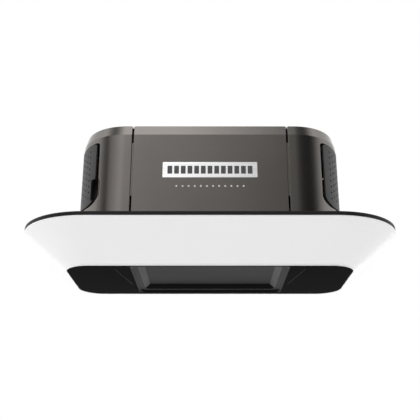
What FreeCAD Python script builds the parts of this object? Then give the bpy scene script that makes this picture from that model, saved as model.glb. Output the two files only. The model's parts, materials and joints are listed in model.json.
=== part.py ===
import FreeCAD, Part
import math
import os

V = FreeCAD.Vector
X_AXIS = V(1, 0, 0)
Y_AXIS = V(0, 1, 0)
Z_AXIS = V(0, 0, 1)

# Garage door opener power head. Millimetres, +Z up, -Y is the front with the badge.
# The origin is the centre of the underside.

# ---- overall form ----
PAN_WIDTH = 470.0
PAN_DEPTH = 298.3
PAN_CORNER = 86.5
RIM_LOW = 40.8
RIM_HEIGHT = 4.9
UNDERSIDE_WIDTH = 366.4
UNDERSIDE_DEPTH = 151.1
UNDERSIDE_CORNER = 31.3
BODY_WIDTH = 346.8
BODY_DEPTH = 175.0
BODY_CORNER = 62.6
SHOULDER_Z = 174.8
CHAMFER_HEIGHT = 14.2
CHAMFER_RUN = 4.1
COVER_WALL = 2.6

# ---- clearances ----
PANEL_GAP = 0.4
FIT_GAP = 0.3
RUNNING_GAP = 0.05
SCREW_GAP = 0.2
JOIN = 0.5

# ---- pan, lens and bottom cover ----
PAN_PLATE = 2.4
PAN_BAND = 3.0
PAN_RIB = 2.0
PAN_RIB_HEIGHT = 6.0
WIRE_HOLE_WIDTH = 40.0
WIRE_HOLE_DEPTH = 30.0
LENS_WALL = 4.0
LENS_LIP = 0.8
COVER_PLATE = 2.5
RECESS_SIDE_INSET = 82.2
RECESS_FRONT_INSET = 3.55
RECESS_BACK_INSET = 10.55
RECESS_CORNER = 12.0
RECESS_STEP = 2.5
RECESS_SLOPE = 4.0
WELL_INSET = 9.0
WELL_END_INSET = 10.0
WELL_CORNER = 8.0
WELL_DEPTH = 5.5
WELL_SLOPE = 8.0
RECESS_SKIN = 2.0
POST_RADIUS = 5.0
POST_INSET_X = 63.2
POST_INSET_Y = 30.55
REFLECTOR_PLATE = 1.5
REFLECTOR_DROP = 4.0
REFLECTOR_MARGIN = 4.0
LED_BOARD_THICK = 1.6
LED_BOARD_WIDTH = 12.0
LED_ROW_INSET_X = 35.0
LED_ROW_INSET_Y = 39.15
LED_SIZE = 5.0
LED_HEIGHT = 1.0
LED_SHARES = (0.1, 0.3, 0.5, 0.7, 0.9)

# ---- upper covers ----
SEAM_BEFORE_CORNER = 9.8
SEAM_GAP = 2.2
TONGUE_RISE = 44.3
TONGUE_DROP = 10.8
TONGUE_THICK = 2.2
TONGUE_REACH = 6.0
LUG_WIDTH = 14.0
LUG_DEPTH = 13.0
LUG_HEIGHT = 8.0
PANEL_LUG_INSET = 23.0
CAP_LUG_Y = 17.0
SCREW_RADIUS = 2.0
SCREW_HEAD = 4.0
SCREW_HEAD_HEIGHT = 1.5
SCREW_LENGTH = 9.0
BADGE_WIDTH = 122.0
BADGE_HEIGHT = 21.5
BADGE_THICK = 1.0
BADGE_DROP = 50.6

# ---- side openings, battery door and vent ----
DOOR_MARGIN = 12.0
DOOR_RISE = 35.8
DOOR_DROP = 7.3
DOOR_LOW_CORNER = 13.0
DOOR_HIGH_CORNER = 4.0
DOOR_PROUD = 1.0
DOOR_WALL = 2.4
DOOR_EDGE_GAP = 0.8
DOOR_END_GAP = 0.6
NOTCH_RISE = 6.5
NOTCH_HEIGHT = 29.0
NOTCH_DEPTH = 5.0
SCOOP_RADIUS = 6.0
SCOOP_DEPTH = 1.4
SCOOP_ANGLE = 58.0
SCOOP_INSET = 2.0
HINGE_ANGLE = 57.5
HINGE_STANDOFF = 0.5
HINGE_BARREL = 2.6
HINGE_PIN = 1.2
HINGE_RISE = 6.5
HINGE_DROP = 5.5
HINGE_EAR = 8.0
HINGE_WEB = 2.0
HINGE_WEB_REACH = 7.8

# ---- top steelwork ----
CHASSIS_PLATE = 2.0
CHASSIS_GAP = 0.5
CHASSIS_STEP = 0.2
CHASSIS_POST_X = 62.0
CHASSIS_POST_INSET = 12.5
STEEL = 2.5
HANGER_INSET = 43.4
HANGER_WIDTH = 28.0
HANGER_FRONT = -35.0
HANGER_BACK = 65.0
HANGER_HEIGHT = 17.5
HANGER_HOLE_RISE = 11.8
HANGER_HOLE = 4.2
HANGER_HOLE_INSET = 15.0
RAIL_HALF = 32.0
RAIL_FROM_SHAFT = 30.0
RAIL_OVERHANG = 20.5
RAIL_WALL_HEIGHT = 25.0
RAIL_HOLE = 4.5
RAIL_HOLE_RISE = 14.8
RAIL_HOLE_INSETS = (36.0, 11.0)
BOLT_RADIUS = 3.0
BOLT_HEAD = 5.0
BOLT_HEAD_HEIGHT = 4.0
BOLT_DROP = 6.0
NUT_HEIGHT = 5.0
NUT_RADIUS = 6.0
RAIL_BOLT_X = 18.0
RAIL_BOLT_INSETS = (7.0, 24.0)

# ---- drive ----
SHAFT_Y = 18.0
MOTOR_HEADROOM = 7.2
WORM_MODULE = 2.0
WHEEL_TEETH = 36
WORM_PITCH_RADIUS = 9.0
WORM_TIP = 10.4
WORM_ROOT = 7.4
WORM_TURNS = 6
WORM_LENGTH = 34.0
THREAD_ROOT_WIDTH = 3.0
THREAD_TIP_WIDTH = 1.7
WHEEL_THICK = 12.0
TOOTH_ADDENDUM = 1.2
TOOTH_DEDENDUM = 1.8
TOOTH_ROOT_SHARE = 0.5
TOOTH_TIP_SHARE = 0.28
SHAFT_RADIUS = 5.0
SHAFT_BELOW = 34.0
BUSH_WALL = 2.5
HOUSING_WALL = 3.0
HOUSING_GAP = 1.0
LID_THICK = 3.0
ISOLATOR_RADIUS = 7.0
ISOLATOR_X = 26.0
ISOLATOR_Y = 22.0
SPROCKET_RISE = 8.8
SPROCKET_HEIGHT = 10.0
SPROCKET_TEETH = 12
SPROCKET_TIP = 15.0
SPROCKET_ROOT = 12.6
SPROCKET_FLANGE = 1.0
SPROCKET_HUB = 8.8
SPROCKET_HUB_HEIGHT = 4.5
SHAFT_ABOVE = 7.5
GUARD_RADIUS = 25.0
GUARD_WALL = 2.0
GUARD_HEIGHT = 30.8
GUARD_FOOT = 6.0
GUARD_WINDOW = 7.5
CLIP_RADIUS = 8.0
CLIP_THICK = 1.5

# ---- motor ----
MOTOR_RADIUS = 30.0
MOTOR_WALL = 2.0
MOTOR_START = 42.0
MOTOR_LENGTH = 92.0
END_PLATE = 4.0
MAGNET_THICK = 5.0
MAGNET_LENGTH = 44.0
MAGNET_SPAN = 130.0
CORE_RADIUS = 21.5
CORE_LENGTH = 40.0
CORE_OFFSET = 21.0
CORE_SLOTS = 9
SLOT_WIDTH = 3.0
SLOT_DEPTH = 9.0
WINDING_RADIUS = 18.0
WINDING_LENGTH = 8.0
MOTOR_SHAFT_RADIUS = 3.0
COMMUTATOR_RADIUS = 9.0
COMMUTATOR_LENGTH = 12.0
BRUSH_SIZE = 6.0
BEARING_RADIUS = 8.0
BEARING_WIDTH = 7.0

# ---- travel encoder ----
ENCODER_MODULE = 1.0
ENCODER_DRIVE_TEETH = 20
ENCODER_TEETH = 40
ENCODER_TOOTH = 0.8
ENCODER_ROOT = 1.2
ENCODER_DROP = 28.0
ENCODER_THICK = 4.0
SPINDLE_RADIUS = 2.0
SPINDLE_ABOVE = 2.0
BRACKET_PLATE = 2.0
BRACKET_DROP = 4.0
BRACKET_LEG = 3.0
BRACKET_LEG_OFFSET = 1.0
BRACKET_EDGE = 3.0
BRACKET_LEFT_INSET = 5.0

# ---- electronics ----
BOARD_RISE = 10.3
BOARD_THICK = 1.6
BOARD_LEFT = -50.0
BOARD_INSET = 23.4
BOARD_MARGIN = 27.5
STANDOFF_RADIUS = 3.5
STANDOFF_INSET = 6.0
CAPACITOR_RADIUS = 10.0
CAPACITOR_HEIGHT = 26.0
CAPACITOR_X = (-20.0, 4.0, 28.0)
CAPACITOR_Y = -44.0
RELAY_X = (60.0, 84.0, 108.0)
RELAY_Y = 40.0
RELAY_WIDTH = 18.0
RELAY_DEPTH = 16.0
RELAY_HEIGHT = 16.0
SINK_LEFT = 64.0
SINK_LENGTH = 60.0
SINK_Y = -46.0
SINK_DEPTH = 22.0
SINK_HEIGHT = 26.0
SINK_FINS = 7
SINK_FIN = 1.6
SINK_FOOT = 3.2
RADIO_LEFT = -30.0
RADIO_WIDTH = 40.0
RADIO_DEPTH = 28.0
RADIO_Y = 22.0
RADIO_HEIGHT = 4.0
CORE_INSET = 61.4
CORE_SIZE_X = 66.0
CORE_SIZE_Y = 22.0
CORE_SIZE_Z = 38.0
CORE_LIMB = 11.0
WINDING_MARGIN = 8.0

# ---- battery ----
BATTERY_INSET = 15.4
BATTERY_LENGTH = 90.0
BATTERY_MARGIN = 37.0
BATTERY_RISE = 44.8
BATTERY_HEIGHT = 70.0
TRAY_GAP = 1.0
TRAY_WALL = 2.0
TRAY_HEIGHT = 34.0

# ---- rear panel fittings ----
BEZEL_DROP = 49.8
BEZEL_WIDTH = 64.0
BEZEL_HEIGHT = 26.0
BEZEL_FLANGE = 1.2
BEZEL_BODY_MARGIN = 2.5
BEZEL_DEPTH = 5.5
BUTTON_PITCH = 14.0
BUTTON_RADIUS = 4.3
BUTTON_PROUD = 0.8
BUTTON_TRAVEL = 1.2
BUTTON_FLANGE = 5.6
BUTTON_FLANGE_THICK = 1.4
BUTTON_TAIL = 4.0
SWITCH_SIZE = 6.0
SWITCH_HEIGHT = 3.5
SWITCH_BOARD_HEIGHT = 22.0
TERMINAL_BLOCK_X = 82.0
TERMINAL_BLOCK_RISE = 20.3
TERMINAL_BLOCK_WIDTH = 26.0
TERMINAL_BLOCK_HEIGHT = 14.0
TERMINAL_BLOCK_OUT = 7.0
TERMINAL_BLOCK_IN = 6.0
TERMINAL_COUNT = 4
TERMINAL_PITCH = 6.0
TERMINAL_SCREW = 1.8
TERMINAL_SCREW_HEAD = 1.0
GLAND_X = -82.0
GLAND_RISE = 20.3
GLAND_BORE = 4.0
GLAND_NECK = 7.0
GLAND_FLANGE = 11.0
GLAND_OUT = 10.0
GLAND_IN = 10.0
GLAND_FLANGE_THICK = 4.0

# ---- worked out from the sizes above ----
RIM_TOP = RIM_LOW + RIM_HEIGHT
BODY_X = BODY_WIDTH / 2
BODY_Y = BODY_DEPTH / 2
BODY_TOP = SHOULDER_Z + CHAMFER_HEIGHT
ARC_X = BODY_X - BODY_CORNER
ARC_Y = BODY_Y - BODY_CORNER
RECESS_WIDTH = UNDERSIDE_WIDTH - 2 * RECESS_SIDE_INSET
RECESS_FRONT = RECESS_FRONT_INSET - UNDERSIDE_DEPTH / 2
RECESS_BACK = UNDERSIDE_DEPTH / 2 - RECESS_BACK_INSET
WELL_WIDTH = RECESS_WIDTH - 2 * WELL_INSET
WELL_FRONT = RECESS_FRONT + WELL_END_INSET
WELL_BACK = RECESS_BACK - WELL_END_INSET
COVER_POST_X = UNDERSIDE_WIDTH / 2 - POST_INSET_X
COVER_POST_Y = UNDERSIDE_DEPTH / 2 - POST_INSET_Y
LED_ROW_X = PAN_WIDTH / 2 - LED_ROW_INSET_X
LED_ROW_Y = PAN_DEPTH / 2 - LED_ROW_INSET_Y
SEAM_X = ARC_X - SEAM_BEFORE_CORNER
PANEL_LUG_X = SEAM_X - PANEL_LUG_INSET
TONGUE_LOW = RIM_TOP + TONGUE_RISE
TONGUE_HIGH = SHOULDER_Z - TONGUE_DROP
BADGE_Z = SHOULDER_Z - BADGE_DROP
DOOR_HALF = BODY_Y - DOOR_MARGIN
DOOR_LOW = RIM_TOP + DOOR_RISE
DOOR_HIGH = SHOULDER_Z - DOOR_DROP
NOTCH_LOW = DOOR_LOW + NOTCH_RISE
NOTCH_HIGH = NOTCH_LOW + NOTCH_HEIGHT
NOTCH_BACK = NOTCH_DEPTH - DOOR_HALF
HINGE_LOW = DOOR_LOW + HINGE_RISE
HINGE_HIGH = DOOR_HIGH - HINGE_DROP
CHASSIS_TOP = BODY_TOP + CHASSIS_STEP
CHASSIS_LOW = CHASSIS_TOP - CHASSIS_PLATE
CHASSIS_POST_Y = BODY_Y - CHASSIS_POST_INSET
HANGER_X = BODY_X - HANGER_INSET
HANGER_HOLE_Z = CHASSIS_TOP + HANGER_HOLE_RISE
RAIL_FRONT = SHAFT_Y + RAIL_FROM_SHAFT
RAIL_BACK = BODY_Y + RAIL_OVERHANG
RAIL_HOLE_Z = CHASSIS_TOP + RAIL_HOLE_RISE
RAIL_HOLE_Y = [RAIL_BACK - inset for inset in RAIL_HOLE_INSETS]
RAIL_BOLT_Y = [RAIL_FRONT + inset for inset in RAIL_BOLT_INSETS]
DRIVE_Z = CHASSIS_LOW - MOTOR_RADIUS - MOTOR_HEADROOM
SPROCKET_Z = CHASSIS_TOP + SPROCKET_RISE
GUARD_TOP = CHASSIS_TOP + GUARD_HEIGHT
ENCODER_Z = DRIVE_Z - ENCODER_DROP
BOARD_Z = RIM_TOP + BOARD_RISE
BOARD_RIGHT = BODY_X - BOARD_INSET
BOARD_HALF = BODY_Y - BOARD_MARGIN
CORE_X = CORE_INSET - BODY_X
BATTERY_LEFT = BATTERY_INSET - BODY_X
BATTERY_RIGHT = BATTERY_LEFT + BATTERY_LENGTH
BATTERY_HALF = BODY_Y - BATTERY_MARGIN
BATTERY_LOW = RIM_TOP + BATTERY_RISE
BEZEL_Z = SHOULDER_Z - BEZEL_DROP
TERMINAL_BLOCK_Z = RIM_TOP + TERMINAL_BLOCK_RISE
GLAND_Z = RIM_TOP + GLAND_RISE
WHEEL_PITCH = WORM_MODULE * WHEEL_TEETH / 2
WORM_Y = SHAFT_Y - WHEEL_PITCH - WORM_PITCH_RADIUS
THREAD_PITCH = math.pi * WORM_MODULE
WHEEL_TIP = WHEEL_PITCH + TOOTH_ADDENDUM
HOUSING_LOW = DRIVE_Z - WORM_TIP - HOUSING_GAP - HOUSING_WALL
HOUSING_TOP = DRIVE_Z + WORM_TIP + HOUSING_GAP
HOUSING_RADIUS = WHEEL_TIP + HOUSING_GAP + HOUSING_WALL
LID_TOP = HOUSING_TOP + LID_THICK
SHAFT_TOP = SPROCKET_Z + SPROCKET_HEIGHT + SHAFT_ABOVE
BUSH_RADIUS = SHAFT_RADIUS + BUSH_WALL
MOTOR_END = MOTOR_START + MOTOR_LENGTH
CORE_START = MOTOR_START + CORE_OFFSET
ENCODER_CENTRE = ENCODER_MODULE * (ENCODER_DRIVE_TEETH + ENCODER_TEETH) / 2
BOARD_TOP = BOARD_Z + BOARD_THICK
BEZEL_BACK = BODY_Y - BEZEL_DEPTH


# ---- shape helpers ----
def box(x0, x1, y0, y1, z0, z1):
    return Part.makeBox(x1 - x0, y1 - y0, z1 - z0, V(x0, y0, z0))


def rod(radius, x, y, z0, z1):
    return Part.makeCylinder(radius, z1 - z0, V(x, y, z0), Z_AXIS)


def rod_x(radius, x0, x1, y, z):
    return Part.makeCylinder(radius, x1 - x0, V(x0, y, z), X_AXIS)


def rod_y(radius, x, y0, y1, z):
    return Part.makeCylinder(radius, y1 - y0, V(x, y0, z), Y_AXIS)


def outline(half_x, half_y, radius, z, y_mid=0.0):
    """Closed rounded rectangle about the Z axis, moved to y_mid, at height z."""
    ax = half_x - radius
    ay = half_y - radius
    bend = radius * math.sqrt(0.5)
    edges = []
    for sx, sy in ((1, -1), (1, 1), (-1, 1), (-1, -1)):
        first = V(sx * ax, sy * half_y, z)
        last = V(sx * half_x, sy * ay, z)
        if sx * sy > 0:
            first, last = last, first
        middle = V(sx * (ax + bend), sy * (ay + bend), z)
        edges.append(Part.Arc(first, middle, last).toShape())
    corners = list(edges)
    for here, after in zip(corners, corners[1:] + corners[:1]):
        start = here.Vertexes[-1].Point
        end = after.Vertexes[0].Point
        edges.append(Part.makeLine(start, end))
    wire = Part.Wire(Part.__sortEdges__(edges))
    wire.translate(V(0, y_mid, 0))
    return wire


def slab(half_x, half_y, radius, z0, z1, y_mid=0.0):
    """Rounded rectangular plate or block."""
    face = Part.Face(outline(half_x, half_y, radius, z0, y_mid))
    return face.extrude(V(0, 0, z1 - z0))


def taper(low, high):
    """Solid with straight ruled sides between two outlines."""
    return Part.makeLoft([low, high], True, True)


def mirror_x(shape):
    return shape.mirror(V(0, 0, 0), X_AXIS)


def group(shapes):
    return Part.makeCompound(shapes)


def fuse(first, *others):
    return first.fuse(list(others)).removeSplitter()


def cut(first, *others):
    return first.cut(list(others))


def export(name, shape):
    shape.exportStep(os.path.join("parts", name + ".step"))


# ---- pan, lens and underside ----
def lens_outline(z, inset=0.0):
    """Outside of the lens at height z, which runs straight from the underside to the rim."""
    share = z / RIM_LOW
    lip = LENS_LIP + FIT_GAP
    low_x = UNDERSIDE_WIDTH / 2 + lip
    low_y = UNDERSIDE_DEPTH / 2 + lip
    half_x = low_x + share * (PAN_WIDTH / 2 - low_x) - inset
    half_y = low_y + share * (PAN_DEPTH / 2 - low_y) - inset
    radius = UNDERSIDE_CORNER + lip + share * (PAN_CORNER - UNDERSIDE_CORNER - lip) - inset
    return outline(half_x, half_y, radius, z)


def light_lens():
    outer = taper(lens_outline(0), lens_outline(RIM_LOW))
    inner = taper(lens_outline(0, LENS_WALL), lens_outline(RIM_LOW, LENS_WALL))
    seat = slab(UNDERSIDE_WIDTH / 2 + FIT_GAP, UNDERSIDE_DEPTH / 2 + FIT_GAP,
                UNDERSIDE_CORNER + FIT_GAP, -JOIN, COVER_PLATE + FIT_GAP)
    return cut(outer, inner, seat)


def pocket(width, front, back, corner, z0, z1, slope, grow=0.0):
    """Tapered pocket that narrows upwards; grow thickens it outwards for the skin round it."""
    middle = (front + back) / 2
    half_x = width / 2 + grow
    half_y = (back - front) / 2 + grow
    low = outline(half_x, half_y, corner + grow, z0, middle)
    high = outline(half_x - slope, half_y - slope, corner + grow - slope / 2, z1, middle)
    return taper(low, high)


def four_posts(radius, x, y, z0, z1):
    return [rod(radius, sx * x, sy * y, z0, z1) for sx in (-1, 1) for sy in (-1, 1)]


def bottom_cover():
    """Underside plate with its stepped recess and four snap posts that reach the pan."""
    plate = slab(UNDERSIDE_WIDTH / 2, UNDERSIDE_DEPTH / 2, UNDERSIDE_CORNER, 0, COVER_PLATE)
    step_top = RECESS_STEP
    well_top = RECESS_STEP + WELL_DEPTH
    step = (RECESS_WIDTH, RECESS_FRONT, RECESS_BACK, RECESS_CORNER)
    well = (WELL_WIDTH, WELL_FRONT, WELL_BACK, WELL_CORNER)
    step_skin = pocket(*step, 0, step_top + RECESS_SKIN, RECESS_SLOPE, RECESS_SKIN)
    well_skin = pocket(*well, step_top, well_top + RECESS_SKIN, WELL_SLOPE, RECESS_SKIN)
    posts = four_posts(POST_RADIUS, COVER_POST_X, COVER_POST_Y, COVER_PLATE - JOIN, RIM_TOP - PAN_PLATE)
    body = fuse(plate, step_skin, well_skin, *posts)
    return cut(body, pocket(*step, 0, step_top, RECESS_SLOPE), pocket(*well, step_top, well_top, WELL_SLOPE))


def base_pan():
    half_x = PAN_WIDTH / 2
    half_y = PAN_DEPTH / 2
    plate = slab(half_x, half_y, PAN_CORNER, RIM_LOW, RIM_TOP)
    below = slab(half_x - PAN_BAND, half_y - PAN_BAND, PAN_CORNER - PAN_BAND, RIM_LOW, RIM_TOP - PAN_PLATE)
    rib_inset = COVER_WALL + PANEL_GAP
    rib_top = RIM_TOP + PAN_RIB_HEIGHT
    rib = slab(BODY_X - rib_inset, BODY_Y - rib_inset, BODY_CORNER - rib_inset, RIM_TOP - JOIN, rib_top)
    inner = rib_inset + PAN_RIB
    rib_hole = slab(BODY_X - inner, BODY_Y - inner, BODY_CORNER - inner, RIM_TOP - JOIN, rib_top)
    wires = slab(WIRE_HOLE_WIDTH / 2, WIRE_HOLE_DEPTH / 2, POST_RADIUS, RIM_LOW, RIM_TOP)
    pan = fuse(cut(plate, below), cut(rib, rib_hole))
    return cut(pan, wires)


def reflector_outline(z):
    return lens_outline(z, LENS_WALL + REFLECTOR_MARGIN)


def light_reflector():
    top = RIM_TOP - PAN_PLATE - REFLECTOR_DROP
    plate = taper(reflector_outline(top - REFLECTOR_PLATE), reflector_outline(top))
    holes = four_posts(POST_RADIUS + FIT_GAP, COVER_POST_X, COVER_POST_Y, 0, RIM_TOP)
    return cut(plate, *holes)


def led_bars():
    """Front, back, left and right strips as x0, x1, y0, y1."""
    half = LED_BOARD_WIDTH / 2
    long_half = COVER_POST_X + LED_BOARD_WIDTH
    short_half = COVER_POST_Y + LED_BOARD_WIDTH
    for side in (-1, 1):
        yield -long_half, long_half, side * LED_ROW_Y - half, side * LED_ROW_Y + half
        yield side * LED_ROW_X - half, side * LED_ROW_X + half, -short_half, short_half


def led_top():
    return RIM_TOP - PAN_PLATE - REFLECTOR_DROP - REFLECTOR_PLATE


def led_chips(x0, x1, y0, y1, top):
    """Row of light-emitting chips along the longer way of one strip."""
    half = LED_SIZE / 2
    for share in LED_SHARES:
        x = x0 + share * (x1 - x0) if x1 - x0 > y1 - y0 else (x0 + x1) / 2
        y = y0 + share * (y1 - y0) if y1 - y0 > x1 - x0 else (y0 + y1) / 2
        yield box(x - half, x + half, y - half, y + half, top - LED_HEIGHT, top)


def led_boards():
    """Four strips under the reflector, each with its chips soldered on."""
    top = led_top()
    low = top - LED_BOARD_THICK
    return group([fuse(box(*bar, low, top), *led_chips(*bar, low)) for bar in led_bars()])


# ---- upper covers ----
def body_solid(inset):
    """Upper body with a chamfered top, inset by the given wall."""
    half_x = BODY_X - inset
    half_y = BODY_Y - inset
    radius = BODY_CORNER - inset
    walls = slab(half_x, half_y, radius, RIM_TOP, SHOULDER_Z)
    low = outline(half_x, half_y, radius, SHOULDER_Z)
    high = outline(half_x - CHAMFER_RUN, half_y - CHAMFER_RUN, radius - CHAMFER_RUN, BODY_TOP)
    return walls.fuse(taper(low, high))


def body_shell():
    return cut(body_solid(0), body_solid(COVER_WALL))


def lug(x, y, along_x):
    """Screw lug under the chassis plate, fused to a cover wall."""
    half_x = LUG_WIDTH / 2 if along_x else LUG_DEPTH / 2
    half_y = LUG_DEPTH / 2 if along_x else LUG_WIDTH / 2
    block = box(x - half_x, x + half_x, y - half_y, y + half_y, CHASSIS_LOW - LUG_HEIGHT, CHASSIS_LOW)
    return cut(block, rod(SCREW_RADIUS, x, y, CHASSIS_LOW - LUG_HEIGHT, CHASSIS_LOW))


def panel_lug_y():
    return BODY_Y - CHAMFER_RUN - COVER_WALL / 2 - LUG_DEPTH / 2


def cap_lug_x():
    return BODY_X - CHAMFER_RUN - COVER_WALL / 2 - LUG_DEPTH / 2


def with_lugs(shell, places, along_x):
    """Shell with a screw lug at each place."""
    return fuse(shell, *[lug(x, y, along_x) for x, y in places])


def middle_panel(side):
    """Front (side -1) or rear (side 1) cover between the two seams."""
    reach = SEAM_X - SEAM_GAP / 2
    depth = sorted((0, side * (BODY_Y + JOIN)))
    window = box(-reach, reach, *depth, 0, BODY_TOP)
    shell = body_shell().common(window)
    places = [(sx * PANEL_LUG_X, side * panel_lug_y()) for sx in (-1, 1)]
    return with_lugs(shell, places, True)


def tongue(side):
    """Lip of the right cap that backs the seam, behind the front or rear panel."""
    inner = BODY_Y - COVER_WALL
    reach = SEAM_X + SEAM_GAP / 2
    root = sorted((side * inner, side * (inner - TONGUE_THICK - PANEL_GAP)))
    lip = sorted((side * (inner - PANEL_GAP), side * (inner - TONGUE_THICK - PANEL_GAP)))
    return fuse(box(reach, reach + TONGUE_REACH, *root, TONGUE_LOW, TONGUE_HIGH),
                box(SEAM_X - TONGUE_REACH, reach, *lip, TONGUE_LOW, TONGUE_HIGH))


def long_edges(block, half_y, z):
    """Edges of a block that run along X at the two places (half_y, z) and (-half_y, z)."""
    near = 0.01
    return [edge for edge in block.Edges
            if abs(edge.CenterOfMass.z - z) < near and abs(abs(edge.CenterOfMass.y) - half_y) < near]


def side_profile(grow_y, grow_z):
    """Side opening seen along X, as a long block through the right-hand wall."""
    half = DOOR_HALF + grow_y
    low = DOOR_LOW - grow_z
    high = DOOR_HIGH + grow_z
    sharp = box(ARC_X, BODY_X + BODY_CORNER, -half, half, low, high)
    rounded = sharp.makeFillet(DOOR_LOW_CORNER, long_edges(sharp, half, low))
    return rounded.makeFillet(DOOR_HIGH_CORNER, long_edges(rounded, half, high))


def side_skin():
    """Curved skin that fills the right-hand side opening, standing a little proud of the wall."""
    heights = (DOOR_LOW - JOIN, DOOR_HIGH + JOIN)
    inset = DOOR_WALL - DOOR_PROUD
    outer = slab(BODY_X + DOOR_PROUD, BODY_Y + DOOR_PROUD, BODY_CORNER + DOOR_PROUD, *heights)
    inner = slab(BODY_X - inset, BODY_Y - inset, BODY_CORNER - inset, *heights)
    return cut(outer, inner).common(side_profile(0, 0))


def side_opening():
    return side_profile(DOOR_EDGE_GAP, DOOR_END_GAP)


def end_cap():
    """Right-hand cap with its lugs and seam tongues, before any opening."""
    reach = SEAM_X + SEAM_GAP / 2
    shell = body_shell().common(box(reach, BODY_X + JOIN, -BODY_Y - JOIN, BODY_Y + JOIN, 0, BODY_TOP))
    places = [(cap_lug_x(), sy * CAP_LUG_Y) for sy in (-1, 1)]
    return fuse(with_lugs(shell, places, False), tongue(-1), tongue(1))


def on_corner(radius, angle, sy):
    """Point on a circle about a right-hand corner's centre, angle in degrees from +X."""
    turn = math.radians(angle)
    return ARC_X + radius * math.cos(turn), sy * (ARC_Y + radius * math.sin(turn))


def hinge_place():
    return on_corner(BODY_CORNER + HINGE_STANDOFF + HINGE_BARREL, HINGE_ANGLE, 1)


def tangent_block(inner, outer, width, angle, z0, z1):
    """Block that lies along the rear right-hand corner between two radii."""
    block = box(inner, outer, -width / 2, width / 2, z0, z1)
    block.rotate(V(0, 0, 0), Z_AXIS, angle)
    block.translate(V(ARC_X, ARC_Y, 0))
    return block


def hinge_ears():
    x, y = hinge_place()
    centre = BODY_CORNER + HINGE_STANDOFF + HINGE_BARREL
    ears = []
    for z0 in (HINGE_LOW, HINGE_HIGH - HINGE_EAR):
        z1 = z0 + HINGE_EAR
        ears.append(rod(HINGE_BARREL, x, y, z0, z1))
        ears.append(tangent_block(BODY_CORNER - JOIN, centre, HINGE_BARREL, HINGE_ANGLE, z0, z1))
    return ears


def hinge_pin():
    x, y = hinge_place()
    return mirror_x(rod(HINGE_PIN, x, y, HINGE_LOW, HINGE_HIGH))


def finger_notch():
    reach = BODY_Y + DOOR_PROUD
    return box(ARC_X, BODY_X, -reach, NOTCH_BACK, NOTCH_LOW, NOTCH_HIGH)


def finger_scoop():
    x, y = on_corner(BODY_CORNER + SCOOP_RADIUS - SCOOP_DEPTH, SCOOP_ANGLE, -1)
    return rod(SCOOP_RADIUS, x, y, NOTCH_LOW + SCOOP_INSET, NOTCH_HIGH - SCOOP_INSET)


def battery_door():
    x, y = hinge_place()
    low = HINGE_LOW + HINGE_EAR + FIT_GAP
    high = HINGE_HIGH - HINGE_EAR - FIT_GAP
    barrel = rod(HINGE_BARREL, x, y, low, high)
    web_inner = BODY_CORNER + HINGE_STANDOFF
    reach = HINGE_WEB_REACH
    web_angle = HINGE_ANGLE - math.degrees(reach / 2 / web_inner)
    web = tangent_block(web_inner, web_inner + HINGE_WEB, reach, web_angle, low, high)
    skin = cut(side_skin(), finger_notch())
    door = fuse(skin, web, barrel)
    return mirror_x(cut(door, rod(HINGE_PIN + RUNNING_GAP, x, y, low, high)))


def left_end_cap():
    x, y = hinge_place()
    cap = cut(end_cap(), side_opening(), finger_scoop())
    cap = fuse(cap, *hinge_ears())
    return mirror_x(cut(cap, rod(HINGE_PIN, x, y, HINGE_LOW, HINGE_HIGH)))


def right_end_cap():
    return cut(end_cap(), side_opening())


def vent_grille():
    """Fixed vent with two snap legs that reach the inside of the cap above and below it."""
    legs = []
    inner = BODY_X - DOOR_WALL + DOOR_PROUD
    back = BODY_X - COVER_WALL
    low_leg = (DOOR_LOW - LUG_HEIGHT, DOOR_LOW + LUG_HEIGHT)
    high_leg = (DOOR_HIGH - LUG_HEIGHT, SHOULDER_Z - JOIN)
    for z0, z1 in (low_leg, high_leg):
        legs.append(box(back - STEEL, back, -LUG_WIDTH / 2, LUG_WIDTH / 2, z0, z1))
        legs.append(box(back - STEEL, inner + JOIN, -LUG_WIDTH / 2, LUG_WIDTH / 2,
                        max(z0, DOOR_LOW), min(z1, DOOR_HIGH)))
    return fuse(side_skin(), *legs)


def badge_plate():
    half_x = BADGE_WIDTH / 2
    half_z = BADGE_HEIGHT / 2
    return box(-half_x, half_x, -BODY_Y - BADGE_THICK, -BODY_Y, BADGE_Z - half_z, BADGE_Z + half_z)


def front_panel():
    return middle_panel(-1)


# ---- top steelwork ----
def cover_screw_places():
    panels = [(sx * PANEL_LUG_X, sy * panel_lug_y()) for sx in (-1, 1) for sy in (-1, 1)]
    return panels + [(sx * cap_lug_x(), sy * CAP_LUG_Y) for sx in (-1, 1) for sy in (-1, 1)]


def bolt_places():
    hangers = [(sx * HANGER_X, y) for sx in (-1, 1) for y in hanger_hole_y()]
    return hangers + [(sx * RAIL_BOLT_X, y) for sx in (-1, 1) for y in RAIL_BOLT_Y]


def hanger_hole_y():
    return HANGER_FRONT + HANGER_HOLE_INSET, HANGER_BACK - HANGER_HOLE_INSET


def isolator_places():
    return [(sx * ISOLATOR_X, SHAFT_Y + sy * ISOLATOR_Y) for sx in (-1, 1) for sy in (-1, 1)]


def hexagon(radius, x, y, z0, z1):
    sides = 6
    turns = [2 * math.pi * k / sides for k in range(sides + 1)]
    points = [V(x + radius * math.cos(turn), y + radius * math.sin(turn), z0) for turn in turns]
    return Part.Face(Part.makePolygon(points)).extrude(V(0, 0, z1 - z0))


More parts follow.
